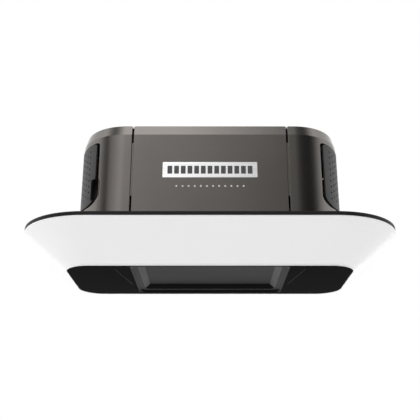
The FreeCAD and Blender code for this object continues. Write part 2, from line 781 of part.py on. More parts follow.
def chassis_plate():
    """Steel plate that everything hangs from, with weld nuts under the bracket bolts."""
    inset = CHAMFER_RUN + COVER_WALL + CHASSIS_GAP
    plate = slab(BODY_X - inset, BODY_Y - inset, BODY_CORNER - inset, CHASSIS_LOW, CHASSIS_TOP)
    holes = [rod(SCREW_RADIUS + SCREW_GAP, x, y, CHASSIS_LOW, CHASSIS_TOP) for x, y in cover_screw_places()]
    holes += [rod(BOLT_RADIUS + SCREW_GAP, x, y, CHASSIS_LOW, CHASSIS_TOP) for x, y in bolt_places()]
    holes.append(rod(BUSH_RADIUS + HOUSING_GAP, 0, SHAFT_Y, CHASSIS_LOW, CHASSIS_TOP))
    holes += [rod(BOLT_RADIUS, x, y, CHASSIS_LOW - NUT_HEIGHT, CHASSIS_LOW) for x, y in bolt_places()]
    nuts = [hexagon(NUT_RADIUS, x, y, CHASSIS_LOW - NUT_HEIGHT, CHASSIS_LOW) for x, y in bolt_places()]
    return cut(fuse(plate, *nuts), *holes)


def cover_screws():
    screws = []
    for x, y in cover_screw_places():
        head = rod(SCREW_HEAD, x, y, CHASSIS_TOP, CHASSIS_TOP + SCREW_HEAD_HEIGHT)
        screws.append(fuse(head, rod(SCREW_RADIUS, x, y, CHASSIS_TOP - SCREW_LENGTH, CHASSIS_TOP)))
    return group(screws)


def chassis_posts():
    return group(four_posts(POST_RADIUS, CHASSIS_POST_X, CHASSIS_POST_Y, RIM_TOP, CHASSIS_LOW))


def hanging_bracket(side):
    half = HANGER_WIDTH / 2
    top = CHASSIS_TOP + STEEL
    base = box(HANGER_X - half, HANGER_X + half, HANGER_FRONT, HANGER_BACK, CHASSIS_TOP, top)
    wall = box(HANGER_X + half - STEEL, HANGER_X + half, HANGER_FRONT, HANGER_BACK,
               CHASSIS_TOP, top + HANGER_HEIGHT)
    holes = [rod(BOLT_RADIUS + SCREW_GAP, HANGER_X, y, CHASSIS_TOP, top) for y in hanger_hole_y()]
    holes += [rod_x(HANGER_HOLE, HANGER_X, HANGER_X + half, y, HANGER_HOLE_Z) for y in hanger_hole_y()]
    bracket = cut(fuse(base, wall), *holes)
    return bracket if side > 0 else mirror_x(bracket)


def hanging_brackets():
    return group([hanging_bracket(side) for side in (-1, 1)])


def rail_bracket():
    top = CHASSIS_TOP + STEEL
    base = box(-RAIL_HALF, RAIL_HALF, RAIL_FRONT, RAIL_BACK, CHASSIS_TOP, top)
    walls = [box(x, x + STEEL, RAIL_FRONT, RAIL_BACK, CHASSIS_TOP, top + RAIL_WALL_HEIGHT)
             for x in (-RAIL_HALF, RAIL_HALF - STEEL)]
    holes = [rod(BOLT_RADIUS + SCREW_GAP, sx * RAIL_BOLT_X, y, CHASSIS_TOP, top)
             for sx in (-1, 1) for y in RAIL_BOLT_Y]
    holes += [rod_x(RAIL_HOLE, -RAIL_HALF, RAIL_HALF, y, RAIL_HOLE_Z) for y in RAIL_HOLE_Y]
    return cut(fuse(base, *walls), *holes)


def bracket_bolts():
    seat = CHASSIS_TOP + STEEL
    bolts = []
    for x, y in bolt_places():
        head = rod(BOLT_HEAD, x, y, seat, seat + BOLT_HEAD_HEIGHT)
        bolts.append(fuse(head, rod(BOLT_RADIUS, x, y, CHASSIS_LOW - BOLT_DROP, seat)))
    return group(bolts)


def sprocket_guard():
    top = GUARD_TOP
    drum = rod(GUARD_RADIUS, 0, SHAFT_Y, CHASSIS_TOP, top)
    hollow = rod(GUARD_RADIUS - GUARD_WALL, 0, SHAFT_Y, CHASSIS_TOP, top - GUARD_WALL)
    reach = GUARD_RADIUS + GUARD_FOOT
    window = box(-reach, reach, SHAFT_Y + GUARD_WINDOW, SHAFT_Y + reach, CHASSIS_TOP, top)
    foot = cut(rod(reach, 0, SHAFT_Y, CHASSIS_TOP, CHASSIS_TOP + GUARD_WALL),
               rod(GUARD_RADIUS - GUARD_WALL, 0, SHAFT_Y, CHASSIS_TOP, CHASSIS_TOP + GUARD_WALL))
    return cut(fuse(cut(drum, hollow), foot), window)


# ---- gears ----
def gear_outline(teeth, pitch_radius, addendum, dedendum, z, turn=0.0):
    """Plain trapezoidal teeth, one centred on angle turn (radians)."""
    step = 2 * math.pi / teeth
    root = pitch_radius - dedendum
    tip = pitch_radius + addendum
    points = []
    for k in range(teeth):
        middle = turn + k * step
        for radius, share in ((root, -TOOTH_ROOT_SHARE), (tip, -TOOTH_TIP_SHARE),
                              (tip, TOOTH_TIP_SHARE), (root, TOOTH_ROOT_SHARE)):
            angle = middle + share * step / 2
            points.append(V(radius * math.cos(angle), radius * math.sin(angle), z))
    return Part.makePolygon(points + points[:1])


def worm():
    """Single-start right-handed worm about its own X axis."""
    length = WORM_TURNS * THREAD_PITCH
    core_radius = WORM_ROOT
    helix = Part.makeHelix(THREAD_PITCH, length, WORM_PITCH_RADIUS)
    base = THREAD_ROOT_WIDTH / 2
    crest = THREAD_TIP_WIDTH / 2
    sunk = core_radius - JOIN
    points = [V(sunk, 0, -base), V(WORM_TIP, 0, -crest), V(WORM_TIP, 0, crest), V(sunk, 0, base)]
    profile = Part.makePolygon(points + points[:1])
    thread = Part.Wire(helix).makePipeShell([profile], True, True)
    blank = Part.makeCylinder(core_radius, length, V(0, 0, 0), Z_AXIS)
    body = blank.fuse(thread)
    margin = (length - WORM_LENGTH) / 2
    body = body.common(Part.makeCylinder(WORM_TIP + JOIN, WORM_LENGTH, V(0, 0, margin), Z_AXIS))
    body = body.cut(Part.makeCylinder(MOTOR_SHAFT_RADIUS, length, V(0, 0, 0), Z_AXIS))
    body.translate(V(0, 0, -length / 2))
    z_to_x = FreeCAD.Rotation(V(1, 1, 1), 120)
    body.Placement = FreeCAD.Placement(V(0, WORM_Y, DRIVE_Z), z_to_x).multiply(body.Placement)
    return body


def worm_wheel():
    """Helical wheel with a gap that faces the worm at mid height."""
    half = WHEEL_THICK / 2
    gap_turn = -math.pi / 2 + math.pi / WHEEL_TEETH
    twist = half * WORM_MODULE / 2 / WORM_PITCH_RADIUS / WHEEL_PITCH
    low, high = [gear_outline(WHEEL_TEETH, WHEEL_PITCH, TOOTH_ADDENDUM, TOOTH_DEDENDUM,
                              DRIVE_Z + sign * half, gap_turn + sign * twist) for sign in (-1, 1)]
    wheel = taper(low, high)
    wheel.translate(V(0, SHAFT_Y, 0))
    floor = HOUSING_LOW + HOUSING_WALL + HOUSING_GAP
    hub = rod(BUSH_RADIUS + BUSH_WALL, 0, SHAFT_Y, floor, HOUSING_TOP - HOUSING_GAP)
    bore = rod(SHAFT_RADIUS, 0, SHAFT_Y, HOUSING_LOW, HOUSING_TOP)
    return cut(fuse(wheel, hub), bore)


def spur_gear(teeth, x, y, z, bore, turn):
    radius = ENCODER_MODULE * teeth / 2
    wire = gear_outline(teeth, radius, ENCODER_TOOTH, ENCODER_ROOT, z, turn)
    gear = Part.Face(wire).extrude(V(0, 0, ENCODER_THICK))
    gear.translate(V(x, y, 0))
    return cut(gear, rod(bore, x, y, z, z + ENCODER_THICK))


def encoder_drive_gear():
    return spur_gear(ENCODER_DRIVE_TEETH, 0, SHAFT_Y, ENCODER_Z, SHAFT_RADIUS, 0)


def encoder_gear():
    return spur_gear(ENCODER_TEETH, -ENCODER_CENTRE, SHAFT_Y, ENCODER_Z, SPINDLE_RADIUS + RUNNING_GAP,
                     math.pi / ENCODER_TEETH)


def encoder_bracket():
    """Plate under the encoder gears, with three legs to the gearbox and the gear's spindle."""
    top = ENCODER_Z - BRACKET_DROP
    leg_y = ENCODER_CENTRE + BRACKET_PLATE
    low = top - BRACKET_PLATE
    right_leg_x = ENCODER_CENTRE / 2 + BRACKET_LEG_OFFSET
    legs = [(right_leg_x, SHAFT_Y)] + [(-ENCODER_CENTRE / 2, SHAFT_Y + sy * leg_y) for sy in (-1, 1)]
    left = -ENCODER_CENTRE - ENCODER_MODULE * ENCODER_TEETH / 2 + BRACKET_LEFT_INSET
    half_y = leg_y + BRACKET_EDGE
    plate = box(left, right_leg_x + BRACKET_EDGE, SHAFT_Y - half_y, SHAFT_Y + half_y, low, top)
    plate = cut(plate, rod(SHAFT_RADIUS + HOUSING_GAP, 0, SHAFT_Y, low, top))
    posts = [rod(BRACKET_LEG, x, y, low, HOUSING_LOW) for x, y in legs]
    spindle_top = ENCODER_Z + ENCODER_THICK + SPINDLE_ABOVE
    spindle = rod(SPINDLE_RADIUS, -ENCODER_CENTRE, SHAFT_Y, low, spindle_top)
    return fuse(plate, spindle, *posts)


def encoder_board():
    low = ENCODER_Z - BRACKET_DROP
    half = ENCODER_CENTRE / 2
    board = box(-ENCODER_CENTRE - half, -ENCODER_CENTRE + half, SHAFT_Y - half, SHAFT_Y + half,
                low, low + LED_BOARD_THICK)
    return cut(board, rod(SPINDLE_RADIUS + FIT_GAP, -ENCODER_CENTRE, SHAFT_Y, low, low + LED_BOARD_THICK))


# ---- drive ----
def motor_rod(radius, x0, x1):
    return rod_x(radius, x0, x1, WORM_Y, DRIVE_Z)


def tunnel(wall, z0, z1):
    half = WORM_LENGTH / 2 + HOUSING_GAP + wall
    low_y = WORM_Y - WORM_TIP - HOUSING_GAP - wall
    return box(-half, half, low_y, SHAFT_Y, z0, z1)


def housing_plan(z0, z1):
    left = -WORM_LENGTH / 2 - HOUSING_GAP - BEARING_WIDTH - HOUSING_WALL
    low_y = WORM_Y - WORM_TIP - HOUSING_GAP - HOUSING_WALL
    block = box(left, MOTOR_START, low_y, WORM_Y + WORM_TIP + HOUSING_GAP, z0, z1)
    return fuse(rod(HOUSING_RADIUS, 0, SHAFT_Y, z0, z1), tunnel(HOUSING_WALL, z0, z1), block)


def inner_bearing_starts():
    reach = WORM_LENGTH / 2 + HOUSING_GAP
    return -reach - BEARING_WIDTH, reach


def gearbox_housing():
    """Open-topped casing with a spigot that the motor can fits over."""
    floor = HOUSING_LOW + HOUSING_WALL
    boss = rod(BUSH_RADIUS + HOUSING_WALL, 0, SHAFT_Y, HOUSING_LOW - HOUSING_WALL, floor)
    flange = motor_rod(MOTOR_RADIUS - MOTOR_WALL, MOTOR_START, MOTOR_START + END_PLATE)
    cuts = [rod(WHEEL_TIP + HOUSING_GAP, 0, SHAFT_Y, floor, HOUSING_TOP), tunnel(0, floor, HOUSING_TOP),
            rod(BUSH_RADIUS, 0, SHAFT_Y, HOUSING_LOW - HOUSING_WALL, floor),
            motor_rod(MOTOR_SHAFT_RADIUS + HOUSING_GAP, 0, MOTOR_START + END_PLATE)]
    cuts += [motor_rod(BEARING_RADIUS, start, start + BEARING_WIDTH) for start in inner_bearing_starts()]
    return cut(fuse(housing_plan(HOUSING_LOW, HOUSING_TOP), boss, flange), *cuts)


def gearbox_lid():
    boss = rod(BUSH_RADIUS + HOUSING_WALL, 0, SHAFT_Y, HOUSING_TOP, LID_TOP + HOUSING_WALL)
    bore = rod(BUSH_RADIUS, 0, SHAFT_Y, HOUSING_TOP, LID_TOP + HOUSING_WALL)
    return cut(fuse(housing_plan(HOUSING_TOP, LID_TOP), boss), bore)


def shaft_bushes():
    rings = []
    low_boss = (HOUSING_LOW - HOUSING_WALL, HOUSING_LOW + HOUSING_WALL)
    high_boss = (HOUSING_TOP, LID_TOP + HOUSING_WALL)
    for span in (low_boss, high_boss):
        bore = rod(SHAFT_RADIUS + RUNNING_GAP, 0, SHAFT_Y, *span)
        rings.append(cut(rod(BUSH_RADIUS, 0, SHAFT_Y, *span), bore))
    return group(rings)


def output_shaft():
    return rod(SHAFT_RADIUS, 0, SHAFT_Y, DRIVE_Z - SHAFT_BELOW, SHAFT_TOP)


def motor_isolators():
    return group([rod(ISOLATOR_RADIUS, x, y, LID_TOP, CHASSIS_LOW) for x, y in isolator_places()])


def drive_sprocket():
    wire = gear_outline(SPROCKET_TEETH, SPROCKET_ROOT, SPROCKET_TIP - SPROCKET_ROOT, 0, SPROCKET_Z)
    teeth = Part.Face(wire).extrude(V(0, 0, SPROCKET_HEIGHT))
    teeth.translate(V(0, SHAFT_Y, 0))
    flanges = [rod(SPROCKET_TIP + SPROCKET_FLANGE, 0, SHAFT_Y, z, z + CLIP_THICK)
               for z in (SPROCKET_Z - CLIP_THICK, SPROCKET_Z + SPROCKET_HEIGHT)]
    hub = rod(SPROCKET_HUB, 0, SHAFT_Y, SPROCKET_Z - SPROCKET_HUB_HEIGHT, SPROCKET_Z)
    bore = rod(SHAFT_RADIUS, 0, SHAFT_Y, CHASSIS_TOP, SHAFT_TOP)
    return cut(fuse(teeth, hub, *flanges), bore)


def retaining_clip():
    low = SPROCKET_Z + SPROCKET_HEIGHT + CLIP_THICK
    ring = rod(CLIP_RADIUS, 0, SHAFT_Y, low, low + CLIP_THICK)
    return cut(ring, rod(SHAFT_RADIUS, 0, SHAFT_Y, low, low + CLIP_THICK))


# ---- motor ----
def motor_can():
    inner = MOTOR_RADIUS - MOTOR_WALL
    end = MOTOR_END - MOTOR_WALL
    tube = cut(motor_rod(MOTOR_RADIUS, MOTOR_START, MOTOR_END), motor_rod(inner, MOTOR_START, end))
    boss = motor_rod(BEARING_RADIUS + MOTOR_WALL, end - BEARING_WIDTH, end)
    return cut(fuse(tube, boss), motor_rod(BEARING_RADIUS, end - BEARING_WIDTH, end))


def motor_bearings():
    starts = [*inner_bearing_starts(), MOTOR_END - MOTOR_WALL - BEARING_WIDTH]
    return group([cut(motor_rod(BEARING_RADIUS, x, x + BEARING_WIDTH),
                      motor_rod(MOTOR_SHAFT_RADIUS + RUNNING_GAP, x, x + BEARING_WIDTH)) for x in starts])


def motor_magnets():
    outer = MOTOR_RADIUS - MOTOR_WALL
    x0 = CORE_START - (MAGNET_LENGTH - CORE_LENGTH) / 2
    arcs = []
    for middle in (0, 180):
        solid = Part.makeCylinder(outer, MAGNET_LENGTH, V(0, 0, 0), Z_AXIS, MAGNET_SPAN)
        hollow = Part.makeCylinder(outer - MAGNET_THICK, MAGNET_LENGTH, V(0, 0, 0), Z_AXIS)
        arc = solid.cut(hollow)
        arc.rotate(V(0, 0, 0), Z_AXIS, middle - MAGNET_SPAN / 2)
        arc.rotate(V(0, 0, 0), Y_AXIS, 90)
        arc.translate(V(x0, WORM_Y, DRIVE_Z))
        arcs.append(arc)
    return group(arcs)


def rotor_core():
    end = CORE_START + CORE_LENGTH
    slots = []
    for k in range(CORE_SLOTS):
        slot = box(CORE_START, end, -SLOT_WIDTH / 2, SLOT_WIDTH / 2,
                   CORE_RADIUS - SLOT_DEPTH, CORE_RADIUS + JOIN)
        slot.rotate(V(0, 0, 0), X_AXIS, 360.0 * k / CORE_SLOTS)
        slot.translate(V(0, WORM_Y, DRIVE_Z))
        slots.append(slot)
    bore = motor_rod(MOTOR_SHAFT_RADIUS, CORE_START, end)
    return cut(motor_rod(CORE_RADIUS, CORE_START, end), bore, *slots)


def rotor_windings():
    rings = []
    for x in (CORE_START - WINDING_LENGTH, CORE_START + CORE_LENGTH):
        rings.append(cut(motor_rod(WINDING_RADIUS, x, x + WINDING_LENGTH),
                         motor_rod(MOTOR_SHAFT_RADIUS, x, x + WINDING_LENGTH)))
    return group(rings)


def motor_shaft():
    start = inner_bearing_starts()[0] + HOUSING_GAP
    return motor_rod(MOTOR_SHAFT_RADIUS, start, MOTOR_END - MOTOR_WALL - HOUSING_GAP)


def commutator_start():
    return CORE_START + CORE_LENGTH + WINDING_LENGTH


def commutator():
    start = commutator_start()
    return cut(motor_rod(COMMUTATOR_RADIUS, start, start + COMMUTATOR_LENGTH),
               motor_rod(MOTOR_SHAFT_RADIUS, start, start + COMMUTATOR_LENGTH))


def motor_brushes():
    start = commutator_start() + (COMMUTATOR_LENGTH - BRUSH_SIZE) / 2
    half = BRUSH_SIZE / 2
    inner = COMMUTATOR_RADIUS + FIT_GAP
    outer = MOTOR_RADIUS - MOTOR_WALL - JOIN
    return group([box(start, start + BRUSH_SIZE, *sorted((WORM_Y + s * inner, WORM_Y + s * outer)),
                      DRIVE_Z - half, DRIVE_Z + half) for s in (-1, 1)])


# ---- electronics ----
def on_board(x0, y0, width, depth, height):
    """Block of the given size centred on (x0, y0) on the control board."""
    return box(x0 - width / 2, x0 + width / 2, y0 - depth / 2, y0 + depth / 2, BOARD_TOP, BOARD_TOP + height)


def board_hole_places():
    xs = (BOARD_LEFT + STANDOFF_INSET, BOARD_RIGHT - STANDOFF_INSET)
    half = BOARD_HALF - STANDOFF_INSET
    return [(x, sy * half) for x in xs for sy in (-1, 1)]


def control_board():
    board = box(BOARD_LEFT, BOARD_RIGHT, -BOARD_HALF, BOARD_HALF, BOARD_Z, BOARD_TOP)
    return cut(board, *[rod(SCREW_RADIUS, x, y, BOARD_Z, BOARD_TOP) for x, y in board_hole_places()])


def board_standoffs():
    return group([fuse(rod(STANDOFF_RADIUS, x, y, RIM_TOP, BOARD_Z),
                       rod(SCREW_RADIUS, x, y, BOARD_Z, BOARD_TOP)) for x, y in board_hole_places()])


def capacitors():
    top = BOARD_TOP + CAPACITOR_HEIGHT
    return group([rod(CAPACITOR_RADIUS, x, CAPACITOR_Y, BOARD_TOP, top) for x in CAPACITOR_X])


def relays():
    return group([on_board(x, RELAY_Y, RELAY_WIDTH, RELAY_DEPTH, RELAY_HEIGHT) for x in RELAY_X])


def heat_sink():
    """Finned block with its fins across X."""
    half = SINK_DEPTH / 2
    right = SINK_LEFT + SINK_LENGTH
    foot = box(SINK_LEFT, right, SINK_Y - half, SINK_Y + half, BOARD_TOP, BOARD_TOP + SINK_FOOT)
    pitch = (SINK_LENGTH - SINK_FIN) / (SINK_FINS - 1)
    fins = [box(SINK_LEFT + k * pitch, SINK_LEFT + k * pitch + SINK_FIN, SINK_Y - half, SINK_Y + half,
                BOARD_TOP, BOARD_TOP + SINK_HEIGHT) for k in range(SINK_FINS)]
    return fuse(foot, *fins)


def radio_module():
    return on_board(RADIO_LEFT + RADIO_WIDTH / 2, RADIO_Y, RADIO_WIDTH, RADIO_DEPTH, RADIO_HEIGHT)


def transformer_core():
    """Laminated three-limb core that stands on the pan under the battery tray."""
    half_x = CORE_SIZE_X / 2
    half_y = CORE_SIZE_Y / 2
    low = RIM_TOP
    high = low + CORE_SIZE_Z
    block = box(CORE_X - half_x, CORE_X + half_x, -half_y, half_y, low, high)
    spans = [sorted((CORE_X + side * CORE_LIMB, CORE_X + side * (half_x - CORE_LIMB))) for side in (-1, 1)]
    windows = [box(*span, -half_y, half_y, low + CORE_LIMB, high - CORE_LIMB) for span in spans]
    return cut(block, *windows)


def transformer_winding():
    half_x = CORE_SIZE_X / 2 - CORE_LIMB
    half_y = CORE_SIZE_Y / 2 + WINDING_MARGIN
    low = RIM_TOP + CORE_LIMB
    high = RIM_TOP + CORE_SIZE_Z - CORE_LIMB
    coil = box(CORE_X - half_x, CORE_X + half_x, -half_y, half_y, low, high)
    limb = box(CORE_X - CORE_LIMB, CORE_X + CORE_LIMB, -CORE_SIZE_Y / 2, CORE_SIZE_Y / 2, low, high)
    return cut(coil, limb)


# ---- battery ----
def battery():
    top = BATTERY_LOW + BATTERY_HEIGHT
    return box(BATTERY_LEFT, BATTERY_RIGHT, -BATTERY_HALF, BATTERY_HALF, BATTERY_LOW, top)


def battery_tray():
    """Open-fronted tray on four legs; the battery slides in through the side door."""
    left = BATTERY_LEFT - TRAY_GAP
    right = BATTERY_RIGHT + TRAY_GAP
    half = BATTERY_HALF + TRAY_GAP
    low = BATTERY_LOW - TRAY_WALL
    high = BATTERY_LOW + TRAY_HEIGHT
    outer = box(left, right + TRAY_WALL, -half - TRAY_WALL, half + TRAY_WALL, low, high)
    inner = box(left, right, -half, half, BATTERY_LOW, high)
    inset = POST_RADIUS + TRAY_GAP
    legs = [rod(POST_RADIUS, x, sy * (half - inset), RIM_TOP, low + TRAY_WALL)
            for x in (left + inset, right - inset) for sy in (-1, 1)]
    return fuse(cut(outer, inner), *legs)


# ---- rear panel fittings ----
def button_names():
    return ("up_button", "adjust_button", "down_button", "learn_button")


def button_x(index):
    return (index - (len(button_names()) - 1) / 2) * BUTTON_PITCH


def bezel_block(grow, y0, y1):
    half_x = BEZEL_WIDTH / 2 - BEZEL_BODY_MARGIN + grow
    half_z = BEZEL_HEIGHT / 2 - BEZEL_BODY_MARGIN + grow
    return box(-half_x, half_x, y0, y1, BEZEL_Z - half_z, BEZEL_Z + half_z)


def button_bezel():
    flange = box(-BEZEL_WIDTH / 2, BEZEL_WIDTH / 2, BODY_Y, BODY_Y + BEZEL_FLANGE,
                 BEZEL_Z - BEZEL_HEIGHT / 2, BEZEL_Z + BEZEL_HEIGHT / 2)
    holes = [rod_y(BUTTON_RADIUS + FIT_GAP, button_x(k), BEZEL_BACK, BODY_Y + BEZEL_FLANGE, BEZEL_Z)
             for k in range(len(button_names()))]
    return cut(fuse(flange, bezel_block(0, BEZEL_BACK, BODY_Y)), *holes)


def button(index):
    """Cap, retaining flange behind the bezel and tail over its switch."""
    x = button_x(index)
    flange_y = BEZEL_BACK - FIT_GAP - BUTTON_FLANGE_THICK
    cap = rod_y(BUTTON_RADIUS, x, flange_y - BUTTON_TAIL, BODY_Y + BEZEL_FLANGE + BUTTON_PROUD, BEZEL_Z)
    flange = rod_y(BUTTON_FLANGE, x, flange_y, flange_y + BUTTON_FLANGE_THICK, BEZEL_Z)
    return fuse(cap, flange)


def switch_top():
    return BEZEL_BACK - 2 * FIT_GAP - BUTTON_FLANGE_THICK - BUTTON_TAIL - BUTTON_TRAVEL


def switch_board():
    """Board behind the buttons with a small switch under each one."""
    face = switch_top() - SWITCH_HEIGHT
    half_x = 2 * BUTTON_PITCH + SWITCH_SIZE
    half_z = SWITCH_BOARD_HEIGHT / 2
    board = box(-half_x, half_x, face - LED_BOARD_THICK, face, BEZEL_Z - half_z, BEZEL_Z + half_z)
    half = SWITCH_SIZE / 2
    centres = [button_x(k) for k in range(len(button_names()))]
    switches = [box(x - half, x + half, face, switch_top(), BEZEL_Z - half, BEZEL_Z + half) for x in centres]
    return fuse(board, *switches)


def terminal_block_shape(grow):
    half = TERMINAL_BLOCK_WIDTH / 2 + grow
    high = TERMINAL_BLOCK_HEIGHT / 2 + grow
    inner = BODY_Y - COVER_WALL - TERMINAL_BLOCK_IN
    return box(TERMINAL_BLOCK_X - half, TERMINAL_BLOCK_X + half, inner, BODY_Y + TERMINAL_BLOCK_OUT,
               TERMINAL_BLOCK_Z - high, TERMINAL_BLOCK_Z + high)


def terminal_x(index):
    return TERMINAL_BLOCK_X + (index - (TERMINAL_COUNT - 1) / 2) * TERMINAL_PITCH


def terminal_holes(radius):
    end = BODY_Y + TERMINAL_BLOCK_OUT
    return [rod_y(radius, terminal_x(k), BODY_Y, end, TERMINAL_BLOCK_Z) for k in range(TERMINAL_COUNT)]


def terminal_block():
    return cut(terminal_block_shape(0), *terminal_holes(TERMINAL_SCREW))


def terminal_screws():
    end = BODY_Y + TERMINAL_BLOCK_OUT
    return group([fuse(hole, rod_y(TERMINAL_SCREW + TERMINAL_SCREW_HEAD / 2, terminal_x(k), end,
                                   end + TERMINAL_SCREW_HEAD, TERMINAL_BLOCK_Z))
                  for k, hole in enumerate(terminal_holes(TERMINAL_SCREW))])


def cord_gland():
    """Bushing where the supply lead would enter."""
    inner = BODY_Y - COVER_WALL
    neck = rod_y(GLAND_NECK, GLAND_X, inner - GLAND_IN, BODY_Y + GLAND_OUT, GLAND_Z)
    flange = rod_y(GLAND_FLANGE, GLAND_X, BODY_Y, BODY_Y + GLAND_FLANGE_THICK, GLAND_Z)
    nut = rod_y(GLAND_FLANGE, GLAND_X, inner - GLAND_FLANGE_THICK, inner, GLAND_Z)
    bore = rod_y(GLAND_BORE, GLAND_X, inner - GLAND_IN, BODY_Y + GLAND_OUT, GLAND_Z)
    return cut(fuse(neck, flange, nut), bore)


def rear_panel():
    through = (BODY_Y - COVER_WALL - JOIN, BODY_Y + JOIN)
    gland_hole = rod_y(GLAND_NECK, GLAND_X, *through, GLAND_Z)
    return cut(middle_panel(1), bezel_block(FIT_GAP, *through), terminal_block_shape(FIT_GAP), gland_hole)


# ---- parts list ----
PARTS = (
    bottom_cover, light_lens, base_pan, light_reflector, led_boards,
    front_panel, rear_panel, left_end_cap, right_end_cap, badge_plate, vent_grille, battery_door, hinge_pin,
    chassis_plate, chassis_posts, cover_screws, hanging_brackets, rail_bracket, bracket_bolts, sprocket_guard,
    gearbox_housing, gearbox_lid, worm_wheel, worm, output_shaft, shaft_bushes, drive_sprocket,
    retaining_clip, motor_isolators, motor_can, motor_bearings, motor_magnets, rotor_core, rotor_windings,
    motor_shaft, commutator, motor_brushes, encoder_drive_gear, encoder_gear, encoder_bracket, encoder_board,
    control_board, board_standoffs, capacitors, relays, heat_sink, radio_module,
    transformer_core, transformer_winding, battery, battery_tray,
    button_bezel, switch_board, terminal_block, terminal_screws, cord_gland,
)


def main():
    os.makedirs("parts", exist_ok=True)
    for make in PARTS:
        export(make.__name__, make())
    for index, name in enumerate(button_names()):
        export(name, button(index))


main()
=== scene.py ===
import json
import math

import bmesh
import bpy
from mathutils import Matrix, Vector
from mathutils.geometry import delaunay_2d_cdt


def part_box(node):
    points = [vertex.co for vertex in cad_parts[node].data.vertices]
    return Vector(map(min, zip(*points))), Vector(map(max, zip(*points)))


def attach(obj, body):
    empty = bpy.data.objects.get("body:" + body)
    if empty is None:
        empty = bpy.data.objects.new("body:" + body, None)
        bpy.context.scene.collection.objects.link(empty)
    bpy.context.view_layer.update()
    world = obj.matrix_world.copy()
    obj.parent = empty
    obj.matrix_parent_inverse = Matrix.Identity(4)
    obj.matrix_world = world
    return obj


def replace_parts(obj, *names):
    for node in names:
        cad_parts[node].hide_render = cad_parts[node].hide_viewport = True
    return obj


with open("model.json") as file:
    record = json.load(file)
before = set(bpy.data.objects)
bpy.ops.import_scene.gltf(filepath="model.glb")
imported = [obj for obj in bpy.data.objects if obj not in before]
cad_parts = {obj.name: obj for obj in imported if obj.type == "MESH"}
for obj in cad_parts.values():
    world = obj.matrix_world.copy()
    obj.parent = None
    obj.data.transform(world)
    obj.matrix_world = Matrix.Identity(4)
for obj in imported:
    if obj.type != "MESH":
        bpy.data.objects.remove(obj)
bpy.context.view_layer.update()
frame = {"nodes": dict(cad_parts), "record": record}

MM = 0.001
NODES = frame["nodes"]
SLOT_OF = {part["node"]: part["material_slot"] for part in frame["record"]["subparts"]}

# ---------------------------------------------------------------- sizes read from the frame
PAN_LOW, PAN_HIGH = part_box("base_pan")
LENS_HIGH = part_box("light_lens")[1]
UNDER_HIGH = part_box("bottom_cover")[1]
CAP_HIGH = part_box("right_end_cap")[1]
PANEL_LOW, PANEL_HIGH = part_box("front_panel")
BADGE_LOW, BADGE_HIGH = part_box("badge_plate")
DOOR_LOW, DOOR_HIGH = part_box("battery_door")
VENT_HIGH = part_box("vent_grille")[1]

BODY_X = CAP_HIGH.x
BODY_Y = -PANEL_LOW.y
BODY_BASE = PANEL_LOW.z
BODY_TOP = PANEL_HIGH.z
SEAM_GAP = 2.2 * MM
SEAM_PANEL = PANEL_HIGH.x
SEAM_CAP = SEAM_PANEL + SEAM_GAP

# corner radii and walls of the same outlines as the frame
BODY_CORNER = 62.6 * MM
PAN_CORNER = 86.5 * MM
UNDER_CORNER = 31.3 * MM
LENS_LOW_CORNER = 32.4 * MM
BODY_WALL = 2.6 * MM
CHAMFER_HEIGHT = 14.2 * MM
CHAMFER_RUN = 4.1 * MM
SHOULDER = BODY_TOP - CHAMFER_HEIGHT


# ---------------------------------------------------------------- materials
BROAD_SCALE = 14.0
GRAIN_DEPTH = 0.0004
TONE_LOW, TONE_HIGH = 0.35, 0.65


def shader(name, color, rough, metallic=0.0, **extra):
    """Principled material; extra holds further socket values by their plain names."""
    mat = bpy.data.materials.new(name)
    mat.use_nodes = True
    bsdf = mat.node_tree.nodes["Principled BSDF"]
    bsdf.inputs["Base Color"].default_value = (*color, 1.0)
    bsdf.inputs["Roughness"].default_value = rough
    bsdf.inputs["Metallic"].default_value = metallic
    for key, value in extra.items():
        bsdf.inputs[key.replace("_", " ")].default_value = value
    return mat, mat.node_tree, bsdf


def noise(tree, scale, detail=3.0, stretch=(1, 1, 1)):
    """Noise in object space, stretched along the axes."""
    place = tree.nodes.new("ShaderNodeTexCoord")
    mapping = tree.nodes.new("ShaderNodeMapping")
    mapping.inputs["Scale"].default_value = stretch
    tex = tree.nodes.new("ShaderNodeTexNoise")
    tex.inputs["Scale"].default_value = scale
    tex.inputs["Detail"].default_value = detail
    tree.links.new(place.outputs["Object"], mapping.inputs["Vector"])
    tree.links.new(mapping.outputs["Vector"], tex.inputs["Vector"])
    return tex.outputs["Fac"]


def spread(tree, value, low, high):
    """Map a 0..1 value to the range low..high."""
    node = tree.nodes.new("ShaderNodeMapRange")
    node.inputs["To Min"].default_value = low
    node.inputs["To Max"].default_value = high
    tree.links.new(value, node.inputs["Value"])
    return node.outputs["Result"]


def two_tone(tree, bsdf, value, first, second):
    """Base colour that wanders between two close tones."""
    ramp = tree.nodes.new("ShaderNodeValToRGB")
    ramp.color_ramp.elements[0].position = TONE_LOW
    ramp.color_ramp.elements[0].color = (*first, 1)
    ramp.color_ramp.elements[1].position = TONE_HIGH
    ramp.color_ramp.elements[1].color = (*second, 1)
    tree.links.new(value, ramp.inputs["Fac"])
    tree.links.new(ramp.outputs["Color"], bsdf.inputs["Base Color"])


def bump(tree, bsdf, value, strength, distance):
    node = tree.nodes.new("ShaderNodeBump")
    node.inputs["Strength"].default_value = strength
    node.inputs["Distance"].default_value = distance
    tree.links.new(value, node.inputs["Height"])
    tree.links.new(node.outputs["Normal"], bsdf.inputs["Normal"])


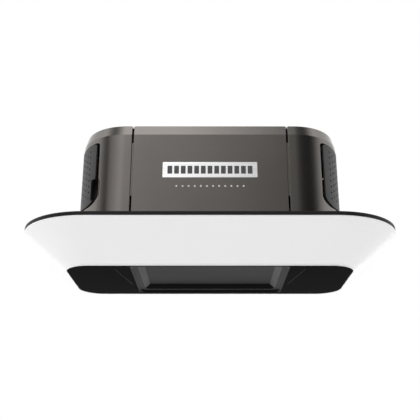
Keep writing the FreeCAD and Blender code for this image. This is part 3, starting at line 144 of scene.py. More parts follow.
def finish_surface(name, color, rough, metallic=0.0, grain=900.0, shift=0.06, rough_shift=0.05,
                   lift=0.03, stretch=(1, 1, 1), **extra):
    """Material with slight wander of colour and roughness and a fine grain in the surface."""
    mat, tree, bsdf = shader(name, color, rough, metallic, **extra)
    broad = noise(tree, BROAD_SCALE, 4.0, stretch)
    darker = tuple(c * (1 - shift) for c in color)
    lighter = tuple(min(1.0, c * (1 + shift)) for c in color)
    two_tone(tree, bsdf, broad, darker, lighter)
    fine = noise(tree, grain, 2.0, stretch)
    tree.links.new(spread(tree, fine, rough - rough_shift, rough + rough_shift), bsdf.inputs["Roughness"])
    bump(tree, bsdf, fine, lift, GRAIN_DEPTH)
    return mat


def brushed(name, color, rough, along=(1, 60, 60), metallic=1.0):
    return finish_surface(name, color, rough, metallic, grain=60.0, shift=0.08, rough_shift=0.08,
                          lift=0.05, stretch=along)


MATERIALS = {
    "warm_grey": finish_surface("warm_grey_paint", (0.128, 0.1180, 0.1095), 0.23, 1.0, grain=2600.0,
                                shift=0.03, lift=0.02, Coat_Weight=0.25, Coat_Roughness=0.25),
    "gloss_black": finish_surface("gloss_black_plastic", (0.0068, 0.0068, 0.007), 0.2, grain=300.0,
                                  rough_shift=0.03, lift=0.01, Specular_IOR_Level=0.0004),
    "pan_dark": finish_surface("dark_satin_paint", (0.016, 0.016, 0.017), 0.4, grain=1400.0, lift=0.04,
                               Specular_IOR_Level=0.15),
    "vent_grey": finish_surface("textured_dark_plastic", (0.032, 0.032, 0.033), 0.5, grain=2200.0, lift=0.12,
                                Specular_IOR_Level=0.35),
    "badge_silver": brushed("badge_brushed", (0.95, 0.95, 0.95), 0.14),
    "badge_ink": finish_surface("badge_dark_ink", (0.075, 0.075, 0.08), 0.45, grain=1200.0),
    "print_white": finish_surface("printed_white", (0.82, 0.82, 0.82), 0.5, grain=1500.0),
    "reflector_white": finish_surface("reflector_white", (0.85, 0.85, 0.84), 0.6),
    "circuit_board": finish_surface("green_board", (0.02, 0.13, 0.06), 0.45, grain=500.0, shift=0.2),
    "steel": brushed("turned_steel", (0.56, 0.56, 0.57), 0.26, (60, 60, 1)),
    "zinc_steel": finish_surface("galvanised_sheet", (0.55, 0.56, 0.58), 0.38, 0.9, grain=420.0, shift=0.16,
                                 rough_shift=0.12, lift=0.03),
    "zinc_screws": finish_surface("zinc_plate", (0.66, 0.66, 0.62), 0.24, 1.0, grain=800.0),
    "black_plastic": finish_surface("black_textured_plastic", (0.018, 0.018, 0.019), 0.5, grain=1800.0,
                                    lift=0.1),
    "cast_housing": finish_surface("cast_aluminium", (0.46, 0.46, 0.46), 0.52, 0.9, grain=900.0, lift=0.2),
    "nylon_gear": finish_surface("natural_nylon", (0.8, 0.77, 0.68), 0.42, Subsurface_Weight=0.2),
    "bronze": brushed("sintered_bronze", (0.5, 0.34, 0.16), 0.4, (40, 40, 1)),
    "sprocket_steel": brushed("sprocket_steel", (0.36, 0.36, 0.37), 0.34, (30, 30, 2)),
    "isolator_rubber": finish_surface("moulded_rubber", (0.012, 0.012, 0.012), 0.7, grain=1500.0, lift=0.1),
    "motor_steel": finish_surface("motor_paint", (0.03, 0.03, 0.033), 0.3, grain=700.0),
    "ferrite": finish_surface("ferrite", (0.06, 0.06, 0.065), 0.6, grain=1200.0, lift=0.15),
    "lamination": brushed("laminations", (0.3, 0.3, 0.31), 0.45, (900, 1, 1)),
    "copper": brushed("enamelled_copper", (0.62, 0.27, 0.12), 0.32, (120, 6, 6)),
    "carbon": finish_surface("carbon", (0.02, 0.02, 0.02), 0.6),
    "capacitor_sleeve": finish_surface("capacitor_sleeve", (0.012, 0.016, 0.05), 0.3),
    "terminal_grey": finish_surface("terminal_nylon", (0.2, 0.2, 0.2), 0.5, grain=1500.0),
    "recess_ledge": finish_surface("recess_ledge", (0.016, 0.016, 0.0165), 0.35, grain=2400.0, lift=0.05,
                                   Specular_IOR_Level=0.02),
    "recess_lining": finish_surface("recess_lining", (0.028, 0.028, 0.0285), 0.42, grain=2400.0, lift=0.06,
                                    Specular_IOR_Level=0.02),
    # lighter copy of the recess lining: painted light on the side slopes
    "recess_side_painted_light": finish_surface("recess_side_painted_light", (0.082, 0.082, 0.083), 0.42, grain=2400.0, lift=0.06,
                                  Specular_IOR_Level=0.02),
    # lighter than the gloss black plate: a painted highlight along the moulded ridge
    "crease_line": finish_surface("crease_highlight", (0.022, 0.022, 0.022), 0.3, grain=900.0,
                                  Specular_IOR_Level=0.02),
    "button_grey": finish_surface("button_grey", (0.2, 0.2, 0.21), 0.35),
    "button_black": finish_surface("button_black", (0.02, 0.02, 0.02), 0.35),
    "button_yellow": finish_surface("button_yellow", (0.7, 0.42, 0.03), 0.35),
}


def lens_material():
    """Opal acrylic with a glossy skin and a faint, slightly uneven glow from the chips behind it."""
    mat, tree, bsdf = shader("opal_lens", (0.84, 0.84, 0.84), 0.18, Coat_Weight=0.4, Coat_Roughness=0.06)
    glow = noise(tree, 5.0, 1.0)
    bsdf.inputs["Emission Color"].default_value = (1.0, 0.995, 0.985, 1.0)
    tree.links.new(spread(tree, glow, 0.02, 0.05), bsdf.inputs["Emission Strength"])
    fine = noise(tree, 700.0, 2.0)
    tree.links.new(spread(tree, fine, 0.15, 0.21), bsdf.inputs["Roughness"])
    return mat


MATERIALS["lens_white"] = lens_material()


def dress(obj, key):
    """Give one material to a whole object."""
    obj.data.materials.clear()
    obj.data.materials.append(MATERIALS[key])


def dress_frame():
    for node, obj in NODES.items():
        dress(obj, SLOT_OF[node])


dress_frame()


# ---------------------------------------------------------------- mesh helpers
def piece(name, verts, faces, key, body="power_head", slot=None, sharp=12.0):
    """Closed mesh piece with one finish, riding on a body."""
    mesh = bpy.data.meshes.new(name)
    mesh.from_pydata(verts, [], faces)
    work = bmesh.new()
    work.from_mesh(mesh)
    bmesh.ops.remove_doubles(work, verts=work.verts, dist=1e-7)
    bmesh.ops.dissolve_degenerate(work, edges=work.edges, dist=1e-7)
    bmesh.ops.recalc_face_normals(work, faces=work.faces)
    work.to_mesh(mesh)
    work.free()
    mesh.polygons.foreach_set("use_smooth", [True] * len(mesh.polygons))
    mesh.set_sharp_from_angle(angle=math.radians(sharp))
    mesh.materials.append(MATERIALS[key])
    obj = bpy.data.objects.new(name, mesh)
    bpy.context.scene.collection.objects.link(obj)
    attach(obj, body)
    slot or key
    return obj


def joined(parts):
    """One vertex and face list from several."""
    verts, faces = [], []
    for part_verts, part_faces in parts:
        first = len(verts)
        verts += part_verts
        faces += [[first + k for k in face] for face in part_faces]
    return verts, faces


def ring(half_x, half_y, radius, z, y_mid=0.0, steps=20):
    """Rounded rectangle at height z, counterclockwise."""
    points = []
    for sx, sy, start in ((1, 1, 0), (-1, 1, 90), (-1, -1, 180), (1, -1, 270)):
        for k in range(steps + 1):
            turn = math.radians(start + 90 * k / steps)
            points.append(Vector((sx * (half_x - radius) + radius * math.cos(turn),
                                  sy * (half_y - radius) + radius * math.sin(turn) + y_mid, z)))
    return points


def softened(profile, cut, closed=True, segments=4):
    """Round the corners of a profile whose points are lists of ring sizes."""
    out = []
    last = len(profile) - 1
    for k, corner in enumerate(profile):
        if not closed and k in (0, last):
            out.append(corner)
            continue
        before, after = profile[k - 1], profile[(k + 1) % len(profile)]
        ends = []
        for other in (before, after):
            run = math.hypot(other[1] - corner[1], other[3] - corner[3])
            share = min(0.45, cut / max(run, 1e-9))
            ends.append([c + (o - c) * share for c, o in zip(corner, other)])
        for j in range(segments + 1):
            t = j / segments
            out.append([a * (1 - t) ** 2 + 2 * c * t * (1 - t) + b * t * t
                        for a, c, b in zip(ends[0], corner, ends[1])])
    return out


def loft(profile, closed=True, steps=20):
    """Skin through rings: a closed band, or a solid disc with flat ends."""
    rings = [ring(*sizes, steps=steps) for sizes in profile]
    count = len(rings[0])
    verts = [point for row in rings for point in row]
    faces = []
    for k in range(len(rings) if closed else len(rings) - 1):
        low, high = k * count, (k + 1) % len(rings) * count
        for j in range(count):
            n = (j + 1) % count
            faces.append([low + j, low + n, high + n, high + j])
    if not closed:
        faces.append(list(range(count))[::-1])
        faces.append([(len(rings) - 1) * count + j for j in range(count)])
    return verts, faces


def prism(loop, z0, z1):
    """Upright solid over a flat loop of (x, y) points."""
    count = len(loop)
    verts = [Vector((x, y, z)) for z in (z0, z1) for x, y in loop]
    faces = [list(range(count))[::-1], [count + k for k in range(count)]]
    faces += [[k, (k + 1) % count, count + (k + 1) % count, count + k] for k in range(count)]
    return verts, faces


def block(low, high):
    """Box between two corners."""
    loop = [(low[0], low[1]), (high[0], low[1]), (high[0], high[1]), (low[0], high[1])]
    return prism(loop, low[2], high[2])


def corner_loop(low, high, radii, steps=8):
    """Rounded rectangle in a sheet's flat (u, v) frame; radii run from the low-u, low-v corner."""
    places = ((low[0], low[1], 180), (high[0], low[1], 270), (high[0], high[1], 0), (low[0], high[1], 90))
    loop = []
    for (u, v, start), radius in zip(places, radii):
        cu = u + radius * (1 if u == low[0] else -1)
        cv = v + radius * (1 if v == low[1] else -1)
        count = steps if radius > 0 else 0
        for k in range(count + 1):
            turn = math.radians(start + (90 * k / count if count else 0))
            loop.append((cu + radius * math.cos(turn), cv + radius * math.sin(turn)))
    return loop


def round_loop(u, v, radius, steps=10):
    return [(u + radius * math.cos(2 * math.pi * k / steps), v + radius * math.sin(2 * math.pi * k / steps))
            for k in range(steps)]


def flat_triangles(loops, lines, dots):
    """Triangles of the region inside the first loop and outside the others, all in millimetres."""
    points, edges, faces = [], [], []
    for loop in loops:
        first = len(points)
        points += [Vector(p) for p in loop]
        edges += [(first + k, first + (k + 1) % len(loop)) for k in range(len(loop))]
        faces.append([first + k for k in range(len(loop))])
    for start, end in lines:
        edges.append((len(points), len(points) + 1))
        points += [Vector(start), Vector(end)]
    points += [Vector(p) for p in dots]
    flat, _, triangles, _, _, sources = delaunay_2d_cdt(points, edges, faces, 0, 1e-5)
    kept = [list(tri) for tri, source in zip(triangles, sources) if 0 in source and len(source) == 1]
    return [Vector(p) for p in flat], kept


LARGE_LOOP = 8.0
ROUND_TURNS = (0, 30, 60, 90)


def inward(flat, borders):
    """Direction into the sheet at each border point, and whether it is on a large loop."""
    sums, links = {}, {}
    for a, b in borders:
        along = (flat[b] - flat[a]).normalized()
        side = Vector((-along.y, along.x))
        for k in (a, b):
            sums.setdefault(k, []).append(side)
        links.setdefault(a, []).append(b)
        links.setdefault(b, []).append(a)
    aim = {}
    for k, sides in sums.items():
        total = sum(sides, Vector((0, 0)))
        aim[k] = total / max(0.3, 1 + sides[0].dot(sides[-1]))
    large, seen = {}, set()
    for start in links:
        if start in seen:
            continue
        group, todo = [], [start]
        seen.add(start)
        while todo:
            k = todo.pop()
            group.append(k)
            fresh = [n for n in links[k] if n not in seen]
            seen.update(fresh)
            todo += fresh
        size = max(flat[k].x for k in group) - min(flat[k].x for k in group)
        for k in group:
            large[k] = size > LARGE_LOOP
    return aim, large


def sheet(loops, place, thickness, lines=(), dots=(), rim=0.5):
    """Solid sheet with rounded outer edges; place(u, v, depth) bends it. Sizes in millimetres."""
    flat, triangles = flat_triangles(loops, lines, dots)
    uses = {}
    for a, b, c in triangles:
        for edge in ((a, b), (b, c), (c, a)):
            uses[edge] = True
    borders = [edge for edge in uses if (edge[1], edge[0]) not in uses]
    aim, large = inward(flat, borders)
    verts, front, back, rows = [], {}, {}, {}
    for k in sorted({k for tri in triangles for k in tri}):
        rounds = [(rim * (1 - math.sin(math.radians(t))), rim * (1 - math.cos(math.radians(t))))
                  for t in ROUND_TURNS] if k in aim and large[k] else [(0, 0)]
        row = []
        for inset, depth in rounds:
            spot = flat[k] + aim[k] * inset if k in aim else flat[k]
            row.append(len(verts))
            verts.append(place(spot.x, spot.y, depth))
        front[k] = row[0]
        back[k] = len(verts)
        verts.append(place(flat[k].x, flat[k].y, thickness))
        rows[k] = row + [back[k]]
    faces = [[front[k] for k in tri] for tri in triangles]
    faces += [[back[k] for k in reversed(tri)] for tri in triangles]
    for a, b in borders:
        for k in range(len(rows[a]) - 1):
            faces.append([rows[b][k], rows[a][k], rows[a][k + 1], rows[b][k + 1]])
    return verts, faces


# ---------------------------------------------------------------- body covers
SIDE_FLAT = (BODY_Y - BODY_CORNER) / MM
CORNER = BODY_CORNER / MM
FRONT_FLAT = (BODY_X - BODY_CORNER) / MM
CORNER_RUN = CORNER * math.pi / 2
BASE_REVEAL = 0.9
COVER_LOW = BODY_BASE / MM + BASE_REVEAL
COVER_SHOULDER = SHOULDER / MM
COVER_TOP = BODY_TOP / MM
WALL = BODY_WALL / MM
CAP_REACH = FRONT_FLAT - SEAM_CAP / MM + CORNER_RUN + SIDE_FLAT
TOP_NOTCH = 1.4
FOOT_ROUND = 0.6
COVER_ROUNDS = (FOOT_ROUND, FOOT_ROUND, TOP_NOTCH, TOP_NOTCH)
PANEL_FOLDS = 10


def chamfer_inset(z):
    """How far the covers lean in above the shoulder, in millimetres."""
    share = max(0.0, (z - COVER_SHOULDER) / (COVER_TOP - COVER_SHOULDER))
    return share * CHAMFER_RUN / MM


def side_point(u, z, depth, side=1, dent=None):
    """Point on an end cap; u runs along the wall from the middle of the side, front negative."""
    depth = depth + chamfer_inset(z) + (dent(u, z) if dent else 0.0)
    far = abs(u)
    if far <= SIDE_FLAT:
        x, y = BODY_X / MM - depth, far
    elif far <= SIDE_FLAT + CORNER_RUN:
        turn = (far - SIDE_FLAT) / CORNER
        x = FRONT_FLAT + (CORNER - depth) * math.cos(turn)
        y = SIDE_FLAT + (CORNER - depth) * math.sin(turn)
    else:
        x = FRONT_FLAT - (far - SIDE_FLAT - CORNER_RUN)
        y = BODY_Y / MM - depth
    return Vector((side * x, math.copysign(y, u), z)) * MM


def u_of_y(y, proud=0.0):
    """Distance along the side wall for a point at depth y."""
    far = abs(y)
    if far <= SIDE_FLAT:
        return y
    turn = math.asin(min(1.0, (far - SIDE_FLAT) / (CORNER + proud)))
    return math.copysign(SIDE_FLAT + CORNER * turn, y)


def bend_lines(low, high, v0, v1, step=2.6):
    """Fold lines across a sheet over the curved stretches only."""
    lines = []
    for sign in (-1, 1):
        count = int(CORNER_RUN / step)
        for k in range(count + 1):
            u = sign * (SIDE_FLAT + CORNER_RUN * k / count)
            if low < u < high:
                lines.append(((u, v0), (u, v1)))
    return lines


DOOR_HALF = VENT_HIGH.y / MM
OPENING_GAP_SIDE = 1.6
OPENING_GAP_END = 1.1
SKIN_LOW = DOOR_LOW.z / MM
SKIN_HIGH = DOOR_HIGH.z / MM
SKIN_PROUD = 1.0
SKIN_WALL = 2.4
SKIN_RADII = (13.0, 13.0, 4.0, 4.0)


def side_loop(half_y, low, high, proud):
    """Outline of the side opening or of its skin, in the wall's flat frame."""
    loop = corner_loop((-half_y, low), (half_y, high), SKIN_RADII)
    return [(u_of_y(y, proud), z) for y, z in loop]


NOTCH_LOW = 88.0
NOTCH_HIGH = 117.0
NOTCH_BACK = -70.5
SCOOP_DEPTH = 1.4
SCOOP_REACH = 6.5
# grid of extra points that lets the scoop bend: first step, pitch and count along the wall and up
SCOOP_FIRST = 0.7
SCOOP_PITCH_U, SCOOP_COUNT_U = 0.9, 10
SCOOP_PITCH_Z, SCOOP_COUNT_Z = 1.5, 23
SCOOP_BELOW = 2


def scoop(u, z):
    """Finger scoop in the left cap beside the door's notch."""
    start = u_of_y(-DOOR_HALF)
    along = max(0.0, 1 - ((u - start) / SCOOP_REACH) ** 2)
    half = (NOTCH_HIGH - NOTCH_LOW) / 2
    middle = (NOTCH_HIGH + NOTCH_LOW) / 2
    end = max(0.0, 1 - (abs(z - middle) / half) ** 6)
    return SCOOP_DEPTH * along * end


def end_cap(name, side, dent=None):
    """End cap with its side opening and tongues; the one with a dent also carries the hinge ears."""
    outer = corner_loop((-CAP_REACH, COVER_LOW), (CAP_REACH, COVER_TOP), COVER_ROUNDS, 4)
    hole = side_loop(DOOR_HALF + OPENING_GAP_SIDE, SKIN_LOW - OPENING_GAP_END,
                     SKIN_HIGH + OPENING_GAP_END, 0.0)
    lines = bend_lines(-CAP_REACH, CAP_REACH, COVER_LOW, COVER_TOP)
    lines.append(((-CAP_REACH, COVER_SHOULDER), (CAP_REACH, COVER_SHOULDER)))
    dots = []
    if dent:
        first = u_of_y(-DOOR_HALF - OPENING_GAP_SIDE)
        dots = [(first - SCOOP_FIRST - j * SCOOP_PITCH_U, NOTCH_LOW - SCOOP_BELOW + k * SCOOP_PITCH_Z)
                for j in range(SCOOP_COUNT_U) for k in range(SCOOP_COUNT_Z)]
    shell = sheet([outer, hole], lambda u, z, d: side_point(u, z, d, side, dent), WALL, lines, dots)
    extra = hinge_ears() if dent else []
    return piece(name, *joined([shell, *extra] + [tongue(side, front) for front in (-1, 1)]), "warm_grey")


TONGUE_LOW = 90.0
TONGUE_HIGH = 164.0
TONGUE_THICK = 2.2
TONGUE_REACH = 6.0
TONGUE_GAP = 0.4


def tongue(side, front):
    """Lip behind a seam, seen as the darker strip in the gap."""
    inner = BODY_Y / MM - WALL - TONGUE_GAP
    xs = sorted((side * (SEAM_PANEL / MM - TONGUE_REACH), side * (SEAM_CAP / MM + TONGUE_REACH)))
    ys = sorted((front * inner, front * (inner - TONGUE_THICK)))
    return block([xs[0] * MM, ys[0] * MM, TONGUE_LOW * MM], [xs[1] * MM, ys[1] * MM, TONGUE_HIGH * MM])


def flat_panel(name, front, holes=()):
    """Front or rear cover between the seams; front is -1 for the badge side."""
    half = SEAM_PANEL / MM
    outer = corner_loop((-half, COVER_LOW), (half, COVER_TOP), COVER_ROUNDS, 4)
    lines = [((-half, COVER_SHOULDER), (half, COVER_SHOULDER))]
    lines += [((half * k / PANEL_FOLDS, COVER_LOW), (half * k / PANEL_FOLDS, COVER_TOP))
              for k in range(1 - PANEL_FOLDS, PANEL_FOLDS)]

    def place(u, z, depth):
        return Vector((u, front * (BODY_Y / MM - depth - chamfer_inset(z)), z)) * MM

    return piece(name, *sheet([outer, *holes], place, WALL, lines), "warm_grey")


FITTING_ROUND = 1.0


def fitting_hole(node, margin):
    """Rectangular hole in the rear cover behind a fitting."""
    low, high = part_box(node)
    return corner_loop((low.x / MM + margin, low.z / MM + margin),
                       (high.x / MM - margin, high.z / MM - margin), (FITTING_ROUND,) * 4, 3)


HINGE_LOW, HINGE_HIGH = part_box("hinge_pin")
HINGE_X = (HINGE_LOW.x + HINGE_HIGH.x) / 2
HINGE_Y = (HINGE_LOW.y + HINGE_HIGH.y) / 2
HINGE_BARREL = 2.6 * MM
HINGE_BORE = 1.25 * MM
HINGE_EAR = 8.0 * MM
HINGE_WEB = 2.0 * MM
HINGE_EAR_BORE = HINGE_BORE - 0.05 * MM
HINGE_END_GAP = 0.3 * MM
HINGE_ROUND = 0.3 * MM
# arms start this far inside the wall on the cap, outside it on the door; the cap's arms reach to ARM_OUT
ARM_SINK = 0.5 * MM
ARM_OUT = 3.1 * MM
# degrees from the hinge's own turn
EAR_ARM_HALF = 1.1
DOOR_ARM_FROM, DOOR_ARM_TO = 7.0, 1.6
ARM_STEPS = 6


def tube(outer, inner, z0, z1):
    """Barrel about the hinge pin."""
    profile = [[r, r, r, z, 0.0] for r, z in ((outer, z0), (outer, z1), (inner, z1), (inner, z0))]
    verts, faces = loft(softened(profile, HINGE_ROUND, segments=2), steps=8)
    return [v + Vector((HINGE_X, HINGE_Y, 0)) for v in verts], faces


def hinge_arm(turn_from, turn_to, low, high, z0, z1):
    """Short curved arm about the rear left corner between two radii, angles in degrees from -X."""
    centre = Vector((-(BODY_X - BODY_CORNER), BODY_Y - BODY_CORNER))
    outer, inner = [], []
    for k in range(ARM_STEPS + 1):
        turn = math.radians(turn_from + (turn_to - turn_from) * k / ARM_STEPS)
        aim = Vector((-math.cos(turn), math.sin(turn)))
        outer.append(centre + aim * high)
        inner.append(centre + aim * low)
    loop = outer + inner[::-1]
    return prism([(p.x, p.y) for p in loop], z0, z1)


HINGE_TURN = 57.5


def hinge_ears():
    """Two knuckles on the left cap that hold the pin."""
    wall = BODY_CORNER - ARM_SINK
    far = BODY_CORNER + ARM_OUT - HINGE_BORE
    parts = []
    for z0 in (HINGE_LOW.z, HINGE_HIGH.z - HINGE_EAR):
        z1 = z0 + HINGE_EAR
        parts.append(tube(HINGE_BARREL, HINGE_EAR_BORE, z0, z1))
        parts.append(hinge_arm(HINGE_TURN - EAR_ARM_HALF, HINGE_TURN + EAR_ARM_HALF, wall, far, z0, z1))
    return parts


def door_knuckle():
    """Barrel between the two ears, with its web to the door skin."""
    z0 = HINGE_LOW.z + HINGE_EAR + HINGE_END_GAP
    z1 = HINGE_HIGH.z - HINGE_EAR - HINGE_END_GAP
    low = BODY_CORNER + ARM_SINK
    return [tube(HINGE_BARREL, HINGE_BORE, z0, z1),
            hinge_arm(HINGE_TURN - DOOR_ARM_FROM, HINGE_TURN - DOOR_ARM_TO, low, low + HINGE_WEB, z0, z1)]


BEZEL_OVERLAP = 2.2
TERMINAL_GAP = 0.3
GLAND_HOLE = 7.2


def build_covers():
    """Front and rear covers and the two end caps, each in place of its CAD node."""
    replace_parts(flat_panel("front_cover", -1), "front_panel")
    gland_low, gland_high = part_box("cord_gland")
    gland = (gland_low + gland_high) / 2 / MM
    holes = [fitting_hole("button_bezel", BEZEL_OVERLAP), fitting_hole("terminal_block", -TERMINAL_GAP),
             round_loop(gland.x, gland.z, GLAND_HOLE, 28)]
    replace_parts(flat_panel("rear_cover", 1, holes), "rear_panel")
    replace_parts(end_cap("right_cap", 1), "right_end_cap")
    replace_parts(end_cap("left_cap", -1, scoop), "left_end_cap")


# ---------------------------------------------------------------- vent and battery door skins
HOLE_RADIUS = 1.3
NOTCH_CLEAR = 3.0
NOTCH_ROUND = 1.2
NOTCH_TURNS = [math.radians(turn) for turn in (30, 60, 90)]
SKIN_FOLD = 3.5
SKIN_ROUND = 0.45
HOLE_COLUMN = 7.0
HOLE_ROW = 8.25
HOLE_MARGIN = 9.5
HOLE_ROWS = 9
HOLE_BASE = 93.0


def perforations(notched):
    """Staggered small holes all over a side skin, as flat loops, clear of the notch."""
    reach = u_of_y(DOOR_HALF, SKIN_PROUD) - HOLE_MARGIN
    clear = u_of_y(NOTCH_BACK, SKIN_PROUD) + NOTCH_CLEAR
    count = int(2 * reach / HOLE_COLUMN) // 2
    loops = []
    for column in range(-count, count + 1):
        shift = HOLE_ROW / 2 if column % 2 else 0.0
        for row in range(HOLE_ROWS - (1 if column % 2 else 0)):
            u, z = column * HOLE_COLUMN, HOLE_BASE + shift + row * HOLE_ROW
            if notched and u < clear and NOTCH_LOW - NOTCH_CLEAR < z < NOTCH_HIGH + NOTCH_CLEAR:
                continue
            loops.append(round_loop(u, z, HOLE_RADIUS, 10))
    return loops


def skin_loop(notched):
    """Outline of a side skin; the notch is cut into its front edge."""
    loop = side_loop(DOOR_HALF, SKIN_LOW, SKIN_HIGH, SKIN_PROUD)
    if not notched:
        return loop
    edge = u_of_y(-DOOR_HALF, SKIN_PROUD)
    back = u_of_y(NOTCH_BACK, SKIN_PROUD)
    radius = SKIN_RADII[0]
    corner_y = -DOOR_HALF + radius - math.sqrt(radius ** 2 - (SKIN_LOW + radius - NOTCH_LOW) ** 2)
    loop = [(u, z) for u, z in loop if u > back or not NOTCH_LOW < z < NOTCH_HIGH]
    soft = NOTCH_ROUND
    notch = [(edge, NOTCH_HIGH), (back - soft, NOTCH_HIGH)]
    notch += [(back - soft * (1 - math.sin(turn)), NOTCH_HIGH - soft * (1 - math.cos(turn)))
              for turn in NOTCH_TURNS]
    notch += [(back, NOTCH_LOW + soft)]
    notch += [(back - soft * (1 - math.cos(turn)), NOTCH_LOW + soft * (1 - math.sin(turn)))
              for turn in NOTCH_TURNS]
    notch += [(u_of_y(corner_y, SKIN_PROUD), NOTCH_LOW)]
    return loop + notch


def side_skin(side, notched):
    """Perforated skin that stands a little proud of its end cap."""
    loops = [skin_loop(notched)] + perforations(notched)
    lines = bend_lines(-CAP_REACH, CAP_REACH, SKIN_LOW, SKIN_HIGH, SKIN_FOLD)

    def place(u, z, depth):
        return side_point(u, z, depth - SKIN_PROUD, side)

    return sheet(loops, place, SKIN_WALL, lines, rim=SKIN_ROUND)


def build_skins():
    """Vent skin on the right end; on the left, the skin of the battery door with its hinge knuckle."""
    vent = piece("vent_skin", *side_skin(1, False), "vent_grey")
    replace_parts(vent, "vent_grille")
    door = piece("door_skin", *joined([side_skin(-1, True), *door_knuckle()]), "vent_grey", body="side_door")
    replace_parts(door, "battery_door")


# ---------------------------------------------------------------- light lens, pan and underside
def between(low, high, share, inset=0.0):
    """Ring sizes part way up the lens slope."""
    mixed = [a + (b - a) * share for a, b in zip(low, high)]
    return [mixed[0] - inset, mixed[1] - inset, mixed[2] - inset, mixed[3], 0.0]


LENS_WALL = 4.0 * MM
LENS_LIP = 1.3 * MM
LENS_STEP = 1.1 * MM
LENS_SEAT = 0.3 * MM
LENS_SEAT_Z = 2.8 * MM
LENS_ROUND = 0.45 * MM


def build_lens():
    """Hollow sloping shell from the bottom cover out to the rim of the pan."""
    rise = LENS_HIGH.z
    low = [UNDER_HIGH.x + LENS_STEP, UNDER_HIGH.y + LENS_STEP, LENS_LOW_CORNER, 0.0]
    high = [LENS_HIGH.x, LENS_HIGH.y, PAN_CORNER, rise]
    seat = [UNDER_HIGH.x + LENS_SEAT, UNDER_HIGH.y + LENS_SEAT, UNDER_CORNER + LENS_SEAT]
    profile = [low + [0.0],
               [low[0], low[1], low[2], LENS_LIP, 0.0],
               [high[0], high[1], high[2], rise - LENS_LIP, 0.0],
               high + [0.0],
               between(low, high, 1.0, LENS_WALL),
               between(low, high, LENS_SEAT_Z / rise, LENS_WALL),
               seat + [LENS_SEAT_Z, 0.0],
               seat + [0.0, 0.0]]
    lens = piece("lens_shell", *loft(softened(profile, LENS_ROUND), steps=28), "lens_white")
    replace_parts(lens, "light_lens")


PAN_WALL = 3.0 * MM
PAN_FLOOR = 2.4 * MM
PAN_ROUND = 0.3 * MM
PAN_HOLE = [20 * MM, 15 * MM, 5 * MM]
# groove round the rim: its depth, the set-in below it, and the heights of its four edges
GROOVE_DEPTH = 0.55 * MM
RIM_SET = 0.15 * MM
GROOVE_EDGES = (2.6 * MM, 2.4 * MM, 2.0 * MM, 1.8 * MM)
# rib that stands up inside the foot of the covers
RIB_OUTSIDE, RIB_INSIDE = 3 * MM, 5 * MM
RIB_LOW, RIB_HIGH = -0.5 * MM, 6 * MM


def build_pan():
    """Flat pan with a grooved rim and a rib for the covers."""
    low = PAN_LOW.z
    top = BODY_BASE
    upper, groove_top, groove_foot, lower = GROOVE_EDGES

    def at(inset, z):
        return [PAN_HIGH.x - inset, PAN_HIGH.y - inset, PAN_CORNER - inset, z, 0.0]

    def rib_at(inset, z):
        return [BODY_X - inset, BODY_Y - inset, BODY_CORNER - inset, top + z, 0.0]

    profile = [PAN_HOLE + [top, 0.0], at(0.0, top), at(0.0, low + upper),
               at(GROOVE_DEPTH, low + groove_top), at(GROOVE_DEPTH, low + groove_foot),
               at(RIM_SET, low + lower), at(RIM_SET, low), at(PAN_WALL, low),
               at(PAN_WALL, top - PAN_FLOOR), PAN_HOLE + [top - PAN_FLOOR, 0.0]]
    rib = [rib_at(RIB_OUTSIDE, RIB_LOW), rib_at(RIB_OUTSIDE, RIB_HIGH),
           rib_at(RIB_INSIDE, RIB_HIGH), rib_at(RIB_INSIDE, RIB_LOW)]
    skins = [loft(softened(profile, PAN_ROUND, segments=3), steps=28), loft(rib, steps=20)]
    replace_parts(piece("pan_shell", *joined(skins), "pan_dark"), "base_pan")


RECESS_MID = -3.5 * MM
SET_UP = 0.12 * MM


# half width, half depth and corner of each level of the recess, from its mouth upwards
MOUTH = [101 * MM, 68.5 * MM, 12 * MM]
STEP = [97 * MM, 64.5 * MM, 10 * MM]
WELL = [92 * MM, 58.5 * MM, 8 * MM]
CEILING = [84 * MM, 50.5 * MM, 4 * MM]
STEP_Z = 2.5 * MM
CEILING_Z = 8 * MM
RECESS_SKIN = 2.0 * MM
COVER_PLATE = 2.5 * MM
UNDER_ROUND = 0.5 * MM


def build_underside():
    """Glossy plate with the stepped recess; parts of the recess get their own finishes."""
    mid = RECESS_MID

    def grown(sizes):
        return [size + RECESS_SKIN for size in sizes]

    outer = [UNDER_HIGH.x, UNDER_HIGH.y, UNDER_CORNER]
    profile = [grown(CEILING) + [CEILING_Z + RECESS_SKIN, mid], grown(WELL) + [STEP_Z + RECESS_SKIN, mid],
               grown(STEP) + [STEP_Z + RECESS_SKIN, mid], grown(MOUTH) + [COVER_PLATE, mid],
               outer + [COVER_PLATE, 0.0], outer + [SET_UP, 0.0], MOUTH + [SET_UP, mid],
               STEP + [STEP_Z, mid], WELL + [STEP_Z, mid], CEILING + [CEILING_Z, mid]]
    surface = loft(softened(profile, UNDER_ROUND, closed=False), False, 16)
    cover = piece("underside_cover", *surface, "gloss_black")
    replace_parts(cover, "bottom_cover")
    lining_material(cover)


# faces of the recess lie within LINING; its outer ledge is past LEDGE_X or under LEDGE_Z
LINING_X, LINING_Y, LINING_Z = 100.2 * MM, 67.7 * MM, 8.3 * MM
LEDGE_X, LEDGE_Z = 92.3 * MM, 2.9 * MM
FACES_DOWN, FACES_FRONT, FACES_SIDE = -0.05, -0.25, 0.3


